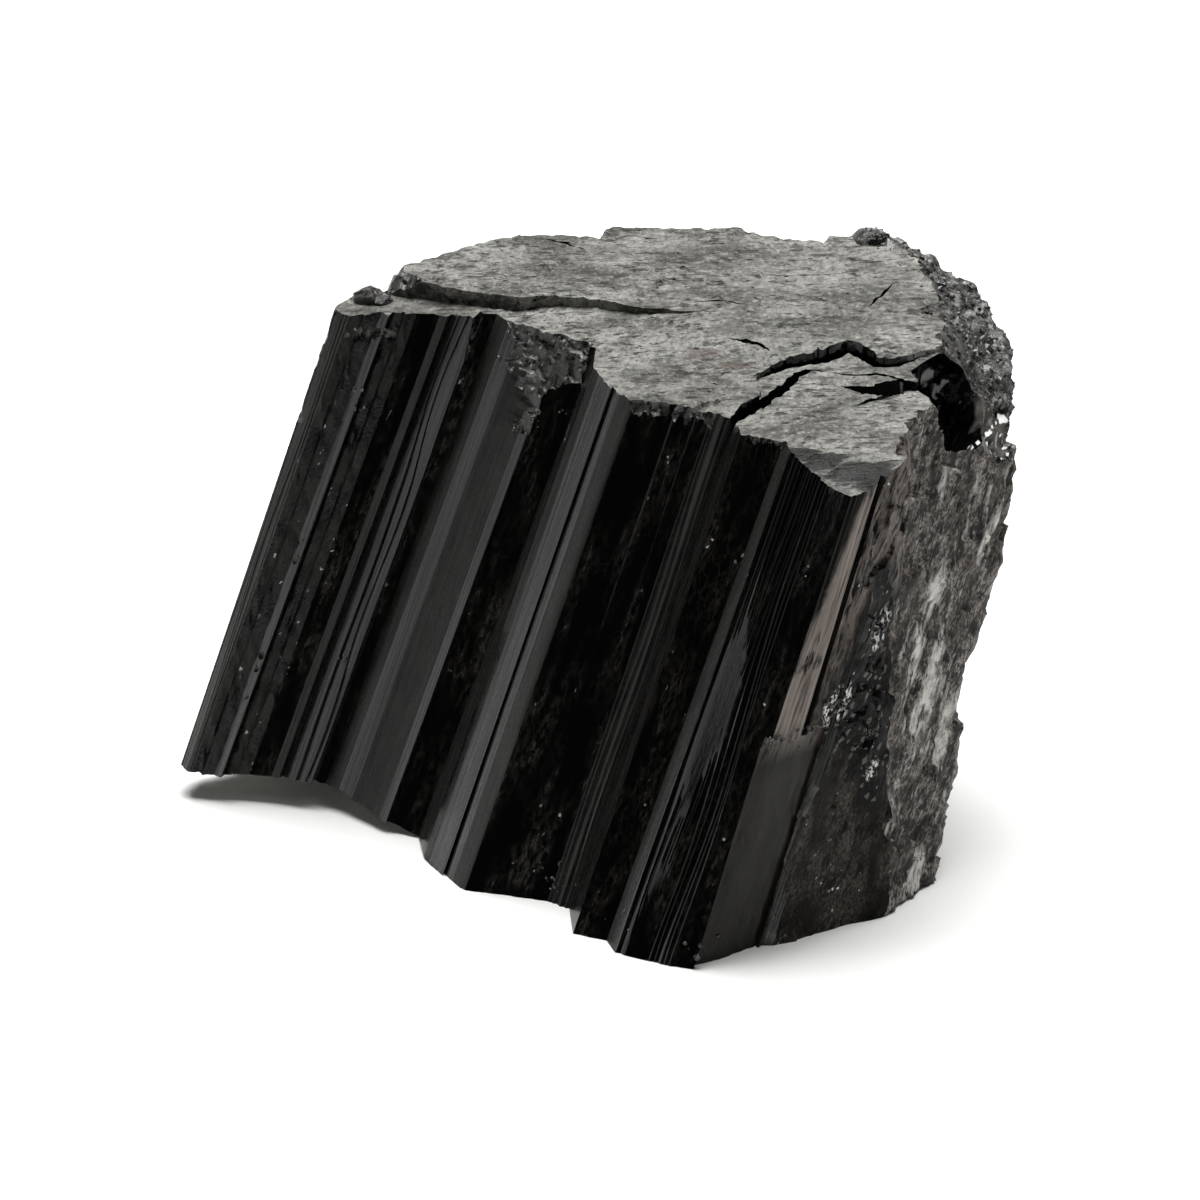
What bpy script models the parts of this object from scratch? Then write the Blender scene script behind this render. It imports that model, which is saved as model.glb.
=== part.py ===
"""A broken chunk of black tourmaline (schorl), lying on one of its broken ends.

The chunk is a short length of a thick prism. Its long axis (the c-axis) leans
to the right and to the back. The front and back are prism faces: tall narrow
facets, ridges and grooves that all run along the axis. The upper end is a
flat break with low ledges and cracks, the right side is a rough break with a
hollow at its top, and the lower end is flat where the chunk rests.

All sizes below are millimetres. The origin is at the middle of the foot.
"""

import math
import random

import bmesh
import bpy
from mathutils import Euler, Quaternion, Vector, noise

MM = 0.001

# ---------------------------------------------------------------------------
# Driving dimensions
# ---------------------------------------------------------------------------

HEAD_Z = 38.0            # height at which the head of each prism edge is given
STOCK_Z = 44.0           # height of the prism before its upper end is broken off
AXIS_LEAN_Y = 0.268      # usual lean of the c-axis to the back, for each mm of height

# Which way the broad sides of a facet's ridges face, given as the place of each
# crest along its ridge.
LEFTWARD = 0.72
FORWARD = 0.22
FORWARD_GROWTH = 1.0     # forward ridges stand out this much more at the head

# Front corners, from left to right: x and y at the foot, lean to the right and
# to the back for each mm of height, then the ridges on the facet that starts at
# the corner, how far they stand out and which way their broad sides face.
FRONT_CORNERS = (
    (-34.0, 3.1, 0.353, 0.268, 2, 0.12, FORWARD),      # narrow ribbed rim
    (-33.1, 1.8, 0.360, 0.268, 3, 0.16, FORWARD),      # pitted face
    (-30.3, 0.9, 0.378, 0.268, 1, 0.30, LEFTWARD),     # low ridge
    (-29.8, 1.1, 0.379, 0.268, 3, 0.10, FORWARD),      # dark face
    (-26.2, 0.7, 0.379, 0.268, 4, 0.34, LEFTWARD),     # first light band, ribbed
    (-22.9, -0.3, 0.378, 0.268, 0, 0.0, FORWARD),      # wall of the first groove
    (-22.6, 0.6, 0.377, 0.268, 0, 0.0, FORWARD),       # bottom of the first groove
    (-21.9, 0.4, 0.377, 0.268, 2, 0.22, LEFTWARD),     # second light band
    (-19.2, -0.6, 0.374, 0.268, 0, 0.0, LEFTWARD),     # smooth broad facet
    (-16.7, -4.1, 0.374, 0.268, 0, 0.0, FORWARD),      # bright edge beside the recess
    (-16.4, -3.3, 0.375, 0.268, 2, 0.16, FORWARD),     # dark recess
    (-14.0, -4.8, 0.372, 0.268, 1, 0.20, LEFTWARD),    # left wall of the third band
    (-13.5, -8.2, 0.356, 0.268, 2, 0.42, LEFTWARD),    # third light band, in two stripes
    (-10.3, -13.4, 0.352, 0.268, 6, 0.14, FORWARD),    # broad dark face
    (-3.6, -15.2, 0.342, 0.275, 2, 0.32, LEFTWARD),    # fourth light band
    (-1.8, -16.3, 0.343, 0.286, 0, 0.0, LEFTWARD),     # step forward
    (-1.3, -19.9, 0.350, 0.330, 2, 0.26, FORWARD),     # dark face beside the step
    (0.7, -21.9, 0.368, 0.325, 1, 0.20, LEFTWARD),     # grey ridge
    (1.6, -23.4, 0.366, 0.325, 4, 0.34, FORWARD),      # finely ribbed dark face
    (6.4, -25.7, 0.325, 0.285, 2, 0.16, FORWARD),      # dark strip
    (9.1, -26.3, 0.305, 0.260, 1, 0.12, FORWARD),      # front corner
    (10.1, -25.2, 0.306, 0.264, 2, 0.22, FORWARD),     # light band right of the corner
)

# The stock runs on behind the rough right side, which is broken off later.
STOCK_CORNERS = (
    (12.9, -22.4, 0.308, 0.268, 0, 0.0, FORWARD),
    (44.0, -22.0, 0.308, 0.268, 0, 0.0, FORWARD),
    (44.0, 22.0, 0.335, 0.268, 0, 0.0, FORWARD),
    (10.4, 19.5, 0.335, 0.268, 0, 0.0, FORWARD),
)

# Back corners, from right to left, in the same form.
BACK_CORNERS = (
    (9.9, 15.8, 0.340, 0.268, 3, 0.35, LEFTWARD),      # ribbed face
    (5.6, 15.2, 0.345, 0.268, 0, 0.0, LEFTWARD),       # groove wall
    (5.0, 13.9, 0.347, 0.268, 2, 0.25, LEFTWARD),      # recessed face
    (1.6, 14.3, 0.350, 0.268, 3, 0.30, LEFTWARD),
    (-3.2, 15.8, 0.358, 0.268, 4, 0.18, LEFTWARD),     # broad face
    (-9.6, 15.8, 0.362, 0.268, 2, 0.40, LEFTWARD),     # two strong ribs
    (-13.4, 15.3, 0.364, 0.268, 0, 0.0, LEFTWARD),
    (-13.9, 13.6, 0.365, 0.268, 3, 0.18, LEFTWARD),    # step and broad face
    (-19.3, 13.9, 0.367, 0.268, 2, 0.30, LEFTWARD),
    (-23.0, 12.4, 0.370, 0.268, 3, 0.22, LEFTWARD),
    (-27.4, 8.8, 0.373, 0.268, 2, 0.30, LEFTWARD),
    (-30.5, 6.6, 0.368, 0.268, 2, 0.20, LEFTWARD),
    (-33.0, 5.1, 0.358, 0.268, 1, 0.15, LEFTWARD),
)

# Rough right side, from the light band round to the back: x and y at the foot,
# then x and y at the head, and how late the edge swings out (1 is straight).
SIDE_EDGES = (
    (11.4, -28.0, 23.1, -18.0, 1.0),
    (12.4, -23.1, 24.1, -12.9, 1.0),
    (22.6, -17.8, 23.9, -5.9, 1.0),    # edge between the two rough faces
    (26.9, -12.3, 34.9, 3.6, 1.38),    # right-hand outline
    (26.8, -3.5, 34.4, 9.5, 1.3),
    (24.4, 4.0, 33.1, 13.8, 1.1),
    (20.3, 9.8, 31.0, 19.8, 1.0),
    (16.4, 13.0, 28.2, 23.0, 1.0),
    (12.4, 14.6, 25.1, 24.9, 1.0),
    (9.2, 16.4, 21.9, 26.7, 1.0),
    (6.0, 30.0, 18.7, 40.2, 1.0),
)
SIDE_SPAN_Z = (-1.5, 44.5)
SIDE_CELL = 2.1          # size of the rough side's facets
SIDE_RELIEF = 0.75       # depth of its lumps and hollows
SIDE_FINE_RELIEF = 0.3   # depth of the smaller ones

# Upper end. Each ledge is a plane: height at the origin, slope in x, slope in y.
UPPER_LEDGE = (39.3, -0.025, 0.010)
MIDDLE_LEDGE = (37.6, 0.020, 0.093)
END_CELL = 2.6           # size of the facets on the broken end
END_RELIEF = 0.16

# Edge of the upper ledge, from the left outline to where it dies out.
UPPER_CREST = (
    (-24.0, 19.4), (-17.6, 17.2), (-16.4, 15.6), (-13.2, 14.5), (-10.0, 13.3), (-6.0, 12.0),
    (-2.9, 12.4), (0.3, 12.0), (3.5, 10.8), (8.2, 9.9), (12.9, 8.4), (17.5, 6.4),
    (21.5, 5.4), (25.0, 6.2), (34.0, 5.0),
)
# Step down to the left front ledge.
LEFT_LEDGE_EDGE = ((-9.2, 8.0), (-9.0, 10.9), (-9.9, 12.1), (-12.5, 13.0), (-17.0, 13.9), (-24.0, 14.8))
LEFT_LEDGE_DROP = 0.35
# Crack between the middle ledge and the lower right ledge.
LOWER_CREST = (
    (9.6, -9.0), (10.6, -6.0), (12.7, -3.4), (14.7, -0.9), (15.9, 1.4), (16.9, 2.1),
    (19.8, 1.2), (22.1, 1.2), (24.0, -0.1), (26.2, -2.4), (30.0, -4.5),
)
LOWER_LEDGE_DROP = 0.35
# Sliver between the two cracks.
SLIVER_EDGE = (
    (13.0, -1.6), (12.6, 0.5), (13.9, 1.8), (15.1, 2.7), (18.3, 3.6), (19.9, 4.5),
    (20.8, 4.1), (22.2, 2.6), (23.7, 2.7), (25.7, 3.5), (28.0, 4.6),
)
SLIVER_DROP = 0.40
# The right rim falls away beyond this line, from RIM_TOP_Z. The fall is steepest at the front.
RIM_TOP_Z = 38.9
RIM_LINE = ((22.6, -12.0), (24.2, -6.0), (25.8, 0.5), (27.0, 8.0), (27.4, 14.0), (26.0, 20.0), (23.0, 28.0))
RIM_FALL_FRONT = 1.28
RIM_FALL_BACK = 0.45
RIM_RELIEF = 0.8
RIM_CELL = 1.6

LEDGE_DEPTH = 12.0       # how far a ledge's cutter reaches up from the ledge
LEDGE_PLAN_Z = (24.0, 54.0)

# Cracks in the upper end: width and depth at the middle, then the line.
CRACKS = (
    ("lower_crack", 0.95, 3.0, (
        (10.2, -7.6), (10.9, -5.6), (12.7, -3.4), (14.7, -0.9), (15.9, 1.3), (16.9, 2.1), (18.4, 1.8),
    )),
    ("long_crack", 0.45, 1.6, ((17.6, 1.9), (19.8, 1.2), (22.1, 1.2), (24.0, 0.0), (26.0, -2.0))),
    ("upper_crack", 0.75, 2.4, (
        (12.3, 0.4), (13.9, 1.7), (15.1, 2.7), (18.3, 3.6), (19.9, 4.5), (20.8, 4.1), (22.2, 2.7),
        (23.7, 2.7), (26.0, 3.6),
    )),
    ("back_crack", 0.35, 1.0, ((20.3, 10.6), (22.1, 13.2), (23.2, 15.6), (24.7, 17.2))),
)

# Chips: middle of the chipped face, the way it faces, its width and height,
# its turn about the way it faces, and how rough it is.
CHIPS = (
    ("corner_chip", (-21.6, 10.4, 34.6), (-0.93, -0.05, 0.37), 22.0, 13.0, 0.0, 0.25),
    ("bevel_chip", (18.6, -12.9, 36.05), (0.12, -0.30, 0.95), 14.0, 6.4, -0.42, 0.12),
    ("front_chip", (-4.6, 7.6, 36.2), (-0.50, -0.72, 0.48), 9.5, 6.2, 0.30, 0.30),
)

CHIP_CELL = 1.6
CHIP_DEPTH = 6.0         # how far a chip's cutter reaches away from the chipped face

# Below this height the light band at the front corner is broken back.
BAND_BREAK_Z = 17.0
BAND_BREAK_RAGGED = 0.8
BAND_BREAK = ((9.5, -27.5), (9.7, -25.1), (10.9, -23.7), (12.5, -22.4), (14.5, -26.0))
BAND_LEAN = (0.308, 0.268)

# Pits in the prism faces: place at the foot, lean, lowest and highest, count.
PIT_ROWS = (
    (-31.7, 1.0, 0.372, 8.0, 33.0, 9),
    (-28.6, 0.8, 0.379, 22.0, 35.0, 4),
)
# Pits in the rough side: number of the edge they lie beyond, lowest and highest, count.
SIDE_PIT_ROWS = ((1, 11.0, 29.0, 8), (2, 14.0, 33.0, 4))
PIT_SIZE = (0.6, 1.3)

# Lower end. The left part stands clear of the ground, the rest lies on it.
FOOT_RISE = 2.1
FOOT_RISE_STARTS_X = -11.0
FOOT_RISE_LENGTH = 11.0
FOOT_CELL = 3.0
FOOT_DEPTH = 6.0         # how far the foot's cutter reaches down

# Pocket at the upper right.
POCKET_PLACE = (27.4, 1.2, 34.9)
POCKET_RADII = (3.1, 3.6, 4.9)
POCKET_LEAN = math.radians(18)

# Crumbs fused to the back of the rim: x, y, z, size.
CRUMBS = (
    (22.4, 25.4, 38.8, 1.5),
    (24.0, 24.2, 38.4, 1.1),
    (26.3, 21.4, 37.6, 1.3),
    (28.3, 17.6, 36.8, 1.0),
    (26.4, 11.0, 38.3, 0.9),
    (27.4, 8.2, 37.6, 0.9),
)


# ---------------------------------------------------------------------------
# Small tools
# ---------------------------------------------------------------------------

def clear_scene():
    for thing in list(bpy.data.objects):
        bpy.data.objects.remove(thing, do_unlink=True)


def new_collection(name):
    collection = bpy.data.collections.new(name)
    bpy.context.scene.collection.children.link(collection)
    return collection


def finish_mesh(name, bm, collection):
    """Turns a bmesh in millimetres into an object in metres."""
    bmesh.ops.recalc_face_normals(bm, faces=bm.faces)
    bmesh.ops.scale(bm, vec=(MM, MM, MM), verts=bm.verts)
    mesh = bpy.data.meshes.new(name)
    bm.to_mesh(mesh)
    bm.free()
    thing = bpy.data.objects.new(name, mesh)
    collection.objects.link(thing)
    return thing


def as_cutter(thing):
    thing.hide_render = True
    thing.display_type = 'WIRE'
    return thing


def apply_boolean(target, cutter, operation='DIFFERENCE'):
    """Adds an exact Boolean to the target, named for its cutter."""
    boolean = target.modifiers.new(cutter.name, 'BOOLEAN')
    boolean.operation = operation
    boolean.solver = 'EXACT'
    boolean.object = cutter


def apply_collection(target, collection):
    """Cuts everything in the collection out of the target."""
    boolean = target.modifiers.new(collection.name, 'BOOLEAN')
    boolean.operation = 'DIFFERENCE'
    boolean.solver = 'EXACT'
    boolean.operand_type = 'COLLECTION'
    boolean.collection = collection


def smooth_step(value):
    value = min(1.0, max(0.0, value))
    return value * value * (3.0 - 2.0 * value)


def relief(x, y, z, grain, seed):
    """Smooth noise from about -1 to 1 whose lumps are grain mm wide."""
    place = Vector((x / grain + seed, y / grain - seed, z / grain + 2.0 * seed))
    return noise.fractal(place, 0.9, 2.1, 3)


def line_x(line, y):
    """The x of a polyline at y, for a line whose points rise in y."""
    for (x0, y0), (x1, y1) in zip(line, line[1:]):
        if y <= y1:
            share = max(0.0, (y - y0) / (y1 - y0))
            return x0 + share * (x1 - x0)
    return line[-1][0]


# ---------------------------------------------------------------------------
# Prism
# ---------------------------------------------------------------------------

def ridged_facet(corner, following, rng):
    """Outline points of one facet with its ridges, each point with its lean."""
    ridges, stand_out, crest_place = corner[4:]
    start = Vector(corner[:4])
    along = Vector(following[:4]) - start
    outward = Vector((along.y, -along.x, 0.0, 0.0)).normalized()
    points = [start]
    if ridges == 0:
        return points
    growth = FORWARD_GROWTH if crest_place == FORWARD else 0.0
    starts = [0.0]
    for ridge in range(1, ridges):
        starts.append((ridge + rng.uniform(-0.22, 0.22)) / ridges)
    starts.append(1.0)
    for begin, end in zip(starts, starts[1:]):
        if begin > 0.0:
            points.append(start + along * begin)
        crest = begin + (end - begin) * (crest_place + rng.uniform(-0.08, 0.08))
        rise = outward * stand_out * rng.uniform(0.6, 1.0)
        point = start + along * crest + rise
        point.z += rise.x * growth / HEAD_Z
        point.w += rise.y * growth / HEAD_Z
        points.append(point)
    return points


def prism_outline():
    rng = random.Random(7)
    corners = FRONT_CORNERS + STOCK_CORNERS + BACK_CORNERS
    points = []
    for corner, following in zip(corners, corners[1:] + corners[:1]):
        points.extend(ridged_facet(corner, following, rng))
    return points


def make_prism(collection):
    """The outline at the foot, extruded along the leaning c-axis."""
    bm = bmesh.new()
    lean_layer = bm.verts.layers.float_vector.new("lean")
    foot = []
    for x, y, lean_x, lean_y in prism_outline():
        vert = bm.verts.new((x, y, 0.0))
        vert[lean_layer] = (lean_x, lean_y, 1.0)
        foot.append(vert)
    face = bm.faces.new(foot)
    extruded = bmesh.ops.extrude_face_region(bm, geom=[face])
    for item in extruded["geom"]:
        if isinstance(item, bmesh.types.BMVert):
            item.co += item[lean_layer] * STOCK_Z
    bmesh.ops.triangulate(bm, faces=bm.faces)
    return finish_mesh("tourmaline_crystal", bm, collection)


# ---------------------------------------------------------------------------
# Breaks
# ---------------------------------------------------------------------------

def plane_height(plane, x, y):
    return plane[0] + plane[1] * x + plane[2] * y


def upper_end_height(x, y):
    rise = END_RELIEF * relief(x, y, 0.0, 9.0, 3.1)
    return plane_height(UPPER_LEDGE, x, y) + rise


def middle_ledge_height(x, y):
    rise = END_RELIEF * relief(x, y, 0.0, 7.0, 5.3)
    return plane_height(MIDDLE_LEDGE, x, y) + rise


def rim_height(x, y):
    beyond = x - line_x(RIM_LINE, y)
    back = smooth_step((y + 4.0) / 28.0)
    fall = RIM_FALL_FRONT + (RIM_FALL_BACK - RIM_FALL_FRONT) * back
    return RIM_TOP_Z - fall * beyond + RIM_RELIEF * relief(x, y, 0.0, 3.2, 8.7)


def foot_height(x, y):
    """Below zero where the foot lies on the ground."""
    clear = smooth_step((FOOT_RISE_STARTS_X - x) / FOOT_RISE_LENGTH)
    edge = 0.35 * relief(x, y, 0.0, 9.0, 1.7)
    hollow = 0.9 * relief(x, y, 0.0, 16.0, 6.1)
    return clear * (FOOT_RISE + edge) + (1.0 - clear) * (hollow - 0.3)


def height_block(name, height, x_range, y_range, cell, thickness, collection):
    """A block whose near face follows height(x, y). It reaches thickness away from it."""
    bm = bmesh.new()
    columns = round((x_range[1] - x_range[0]) / cell)
    rows = round((y_range[1] - y_range[0]) / cell)
    bmesh.ops.create_grid(bm, x_segments=columns, y_segments=rows, size=0.5)
    rng = random.Random(len(name))
    for vert in bm.verts:
        x = x_range[0] + (vert.co.x + 0.5) * (x_range[1] - x_range[0])
        y = y_range[0] + (vert.co.y + 0.5) * (y_range[1] - y_range[0])
        if not vert.is_boundary:
            x += rng.uniform(-0.3, 0.3) * cell
            y += rng.uniform(-0.3, 0.3) * cell
        vert.co = Vector((x, y, height(x, y)))
    sheet = list(bm.faces)
    extruded = bmesh.ops.extrude_face_region(bm, geom=sheet, use_keep_orig=True)
    far = [item for item in extruded["geom"] if isinstance(item, bmesh.types.BMVert)]
    for vert in far:
        vert.co.z += thickness
    bmesh.ops.triangulate(bm, faces=bm.faces)
    return as_cutter(finish_mesh(name, bm, collection))


def outline_block(name, outline, collection):
    """An upright block with the given plan, tall enough to pass through the upper end."""
    bm = bmesh.new()
    face = bm.faces.new([bm.verts.new((x, y, LEDGE_PLAN_Z[0])) for x, y in outline])
    extruded = bmesh.ops.extrude_face_region(bm, geom=[face])
    for item in extruded["geom"]:
        if isinstance(item, bmesh.types.BMVert):
            item.co.z = LEDGE_PLAN_Z[1]
    return as_cutter(finish_mesh(name, bm, collection))


def ledge_cutter(name, height, outline, cell, collection):
    """Removes what stands above height(x, y), inside the outline only."""
    xs = [x for x, _ in outline]
    ys = [y for _, y in outline]
    x_range = (min(xs) - 2.0, max(xs) + 2.0)
    y_range = (min(ys) - 2.0, max(ys) + 2.0)
    block = height_block(name, height, x_range, y_range, cell, LEDGE_DEPTH, collection)
    plan = outline_block(name + "_plan", outline, collection)
    apply_boolean(block, plan, 'INTERSECT')
    return block


def make_end_cutters(collection):
    """The ledges of the upper end, from the highest to the lowest."""
    crest = list(UPPER_CREST)
    middle = crest[::-1] + [(-30.0, -40.0), (40.0, -40.0)]
    left = list(LEFT_LEDGE_EDGE) + [(-34.0, 14.8), (-34.0, -6.0), (-8.0, -6.0)]
    lower = list(LOWER_CREST)[::-1] + [(2.0, -34.0), (44.0, -34.0), (44.0, -10.0)]
    sliver = list(SLIVER_EDGE)[::-1] + [(13.0, -6.0), (30.0, -6.0)]
    rim = list(RIM_LINE)[::-1] + [(22.6, -34.0), (46.0, -34.0), (46.0, 34.0)]

    def left_height(x, y):
        return middle_ledge_height(x, y) - LEFT_LEDGE_DROP

    def lower_height(x, y):
        return middle_ledge_height(x, y) - LOWER_LEDGE_DROP

    def sliver_height(x, y):
        return middle_ledge_height(x, y) - SLIVER_DROP

    return (
        height_block("upper_end", upper_end_height, (-40.0, 50.0), (-34.0, 38.0), END_CELL, 16.0, collection),
        ledge_cutter("middle_ledge", middle_ledge_height, middle, END_CELL, collection),
        ledge_cutter("left_ledge", left_height, left, END_CELL, collection),
        ledge_cutter("lower_ledge", lower_height, lower, END_CELL, collection),
        ledge_cutter("sliver_ledge", sliver_height, sliver, END_CELL, collection),
        ledge_cutter("rim", rim_height, rim, RIM_CELL, collection),
    )


def side_point(edge_a, edge_b, share, z):
    """A point of the rough side between two of its edges, before its relief."""
    height = z / HEAD_Z
    places = []
    for foot_x, foot_y, head_x, head_y, late in (edge_a, edge_b):
        swing = max(0.0, height) ** late
        places.append(Vector((foot_x + (head_x - foot_x) * swing, foot_y + (head_y - foot_y) * height, z)))
    return places[0].lerp(places[1], share)


def make_side_cutter(collection):
    """The rough right side: a lumpy upright sheet, extruded away from the chunk."""
    bm = bmesh.new()
    rng = random.Random(23)
    low, high = SIDE_SPAN_Z
    rows = round((high - low) / SIDE_CELL)
    columns = []
    for edge_a, edge_b in zip(SIDE_EDGES, SIDE_EDGES[1:]):
        width = math.dist(edge_a[:2], edge_b[:2])
        steps = max(2, round(width / SIDE_CELL))
        for step in range(steps):
            columns.append((edge_a, edge_b, step / steps))
    columns.append((SIDE_EDGES[-2], SIDE_EDGES[-1], 1.0))
    grid = []
    for edge_a, edge_b, share in columns:
        line = []
        for row in range(rows + 1):
            z = low + row * (high - low) / rows
            if 0 < row < rows:
                z += rng.uniform(-0.25, 0.25) * SIDE_CELL
            place = side_point(edge_a, edge_b, share, z)
            place.x += SIDE_RELIEF * relief(place.x, place.y, z * 0.55, 5.0, 4.4)
            place.x += SIDE_FINE_RELIEF * relief(place.x, place.y, z * 0.7, 2.0, 9.2)
            line.append(bm.verts.new(place))
        grid.append(line)
    for near, far in zip(grid, grid[1:]):
        for row in range(rows):
            bm.faces.new((near[row], far[row], far[row + 1], near[row + 1]))
    extruded = bmesh.ops.extrude_face_region(bm, geom=list(bm.faces), use_keep_orig=True)
    for item in extruded["geom"]:
        if isinstance(item, bmesh.types.BMVert):
            item.co.x += 60.0
    bmesh.ops.triangulate(bm, faces=bm.faces)
    return as_cutter(finish_mesh("rough_side", bm, collection))


def make_foot_cutter(collection):
    """Raises the left part of the foot and hollows the rest a little."""
    return height_block("foot", foot_height, (-40.0, 34.0), (-32.0, 24.0), FOOT_CELL, -FOOT_DEPTH, collection)


def make_pocket_cutter(collection):
    """The pocket: a faceted egg-shaped hollow with shell-like walls."""
    bm = bmesh.new()
    bmesh.ops.create_icosphere(bm, subdivisions=2, radius=1.0)
    for vert in bm.verts:
        lump = 1.0 + 0.16 * noise.noise(vert.co * 1.9)
        vert.co = Vector([c * r * lump for c, r in zip(vert.co, POCKET_RADII)])
    thing = as_cutter(finish_mesh("pocket", bm, collection))
    thing.location = Vector(POCKET_PLACE) * MM
    thing.rotation_euler = (-POCKET_LEAN, POCKET_LEAN, 0.0)
    return thing


def make_crack_cutter(name, width, depth, line, collection):
    """A wedge along the line: widest and deepest at its middle, closed at both ends."""
    bm = bmesh.new()
    sections = []
    for number, (x, y) in enumerate(line):
        share = number / (len(line) - 1)
        swell = 0.15 + 0.85 * math.sin(math.pi * share)
        before = Vector(line[max(0, number - 1)])
        after = Vector(line[min(len(line) - 1, number + 1)])
        along = (after - before).normalized()
        across = Vector((-along.y, along.x)) * width * swell * 0.5
        top = middle_ledge_height(x, y) + 3.0
        bottom = middle_ledge_height(x, y) - depth * swell
        widen = 1.0 + 3.0 / (depth * swell)
        sections.append((
            bm.verts.new((x - across.x * widen, y - across.y * widen, top)),
            bm.verts.new((x + across.x * widen, y + across.y * widen, top)),
            bm.verts.new((x, y, bottom)),
        ))
    for near, far in zip(sections, sections[1:]):
        for side in range(3):
            bm.faces.new((near[side], near[side - 1], far[side - 1], far[side]))
    bm.faces.new(sections[0])
    bm.faces.new(sections[-1][::-1])
    bmesh.ops.triangulate(bm, faces=bm.faces)
    return as_cutter(finish_mesh(name, bm, collection))


def make_chip_cutter(name, middle, facing, width, height, turn, rough, collection):
    """A slab whose near face is the chipped face."""
    bm = bmesh.new()
    columns = round(width / CHIP_CELL)
    rows = round(height / CHIP_CELL)
    bmesh.ops.create_grid(bm, x_segments=columns, y_segments=rows, size=0.5)
    for vert in bm.verts:
        x = vert.co.x * width
        y = vert.co.y * height
        vert.co = Vector((x, y, rough * relief(x, y, 0.0, 3.0, 0.1 * len(name))))
    extruded = bmesh.ops.extrude_face_region(bm, geom=list(bm.faces), use_keep_orig=True)
    for item in extruded["geom"]:
        if isinstance(item, bmesh.types.BMVert):
            item.co.z += CHIP_DEPTH
    bmesh.ops.triangulate(bm, faces=bm.faces)
    thing = as_cutter(finish_mesh(name, bm, collection))
    thing.location = Vector(middle) * MM
    facing_turn = Vector(facing).to_track_quat('Z', 'Y')
    thing.rotation_euler = (facing_turn @ Quaternion((0.0, 0.0, 1.0), turn)).to_euler()
    return thing


def make_band_cutter(collection):
    """Breaks the light band back below a ragged ledge."""
    bm = bmesh.new()
    face = bm.faces.new([bm.verts.new((x, y, 0.0)) for x, y in BAND_BREAK])
    extruded = bmesh.ops.extrude_face_region(bm, geom=[face])
    upper = [item for item in extruded["geom"] if isinstance(item, bmesh.types.BMVert)]
    rng = random.Random(5)
    for vert in bm.verts:
        height = -2.0
        if vert in upper:
            height = BAND_BREAK_Z + rng.uniform(-BAND_BREAK_RAGGED, BAND_BREAK_RAGGED)
        vert.co += Vector((BAND_LEAN[0], BAND_LEAN[1], 1.0)) * height
    bmesh.ops.triangulate(bm, faces=bm.faces)
    return as_cutter(finish_mesh("band_break", bm, collection))


def make_pit(name, place, rng, collection):
    """A small angular hollow, drawn out along the c-axis."""
    size = rng.uniform(*PIT_SIZE)
    bm = bmesh.new()
    bmesh.ops.create_icosphere(bm, subdivisions=1, radius=size)
    stretch = Vector((rng.uniform(0.6, 1.3), rng.uniform(0.5, 0.9), rng.uniform(1.0, 2.0)))
    for vert in bm.verts:
        vert.co *= rng.uniform(0.6, 1.3)
    turn = Euler((rng.uniform(-0.6, 0.6), rng.uniform(-0.3, 0.6), rng.uniform(0.0, 3.0))).to_matrix()
    bmesh.ops.rotate(bm, matrix=turn, verts=bm.verts)
    bmesh.ops.scale(bm, vec=stretch, verts=bm.verts)
    bmesh.ops.translate(bm, vec=place, verts=bm.verts)
    as_cutter(finish_mesh(name, bm, collection))


def make_pits(collection):
    rng = random.Random(41)
    for row, (foot_x, foot_y, lean, low, high, count) in enumerate(PIT_ROWS):
        for number in range(count):
            z = low + (high - low) * (number + rng.uniform(0.1, 0.9)) / count
            place = Vector((foot_x + lean * z + rng.uniform(-1.0, 1.0), foot_y + AXIS_LEAN_Y * z - 0.2, z))
            make_pit("pit_%d_%d" % (row, number), place, rng, collection)
    for row, (edge, low, high, count) in enumerate(SIDE_PIT_ROWS):
        for number in range(count):
            z = low + (high - low) * (number + rng.uniform(0.1, 0.9)) / count
            place = side_point(SIDE_EDGES[edge], SIDE_EDGES[edge + 1], rng.uniform(0.15, 0.85), z)
            make_pit("side_pit_%d_%d" % (row, number), place, rng, collection)


def make_crumb(number, crumb, collection):
    """A small blocky grain to be fused to the rim."""
    x, y, z, size = crumb
    rng = random.Random(100 + number)
    bm = bmesh.new()
    bmesh.ops.create_icosphere(bm, subdivisions=1, radius=size)
    for vert in bm.verts:
        vert.co *= rng.uniform(0.75, 1.15)
    bmesh.ops.translate(bm, vec=(x, y, z - 0.3 * size), verts=bm.verts)
    return as_cutter(finish_mesh("crumb_%d" % number, bm, collection))


# ---------------------------------------------------------------------------
# Material
# ---------------------------------------------------------------------------

def schorl_material():
    """Black vitreous schorl."""
    material = bpy.data.materials.new("black_schorl")
    material.use_nodes = True
    shader = material.node_tree.nodes["Principled BSDF"]
    shader.inputs["Base Color"].default_value = (0.010, 0.010, 0.009, 1.0)
    shader.inputs["Roughness"].default_value = 0.25
    shader.inputs["Metallic"].default_value = 0.0
    shader.inputs["IOR"].default_value = 1.64
    return material


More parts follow.
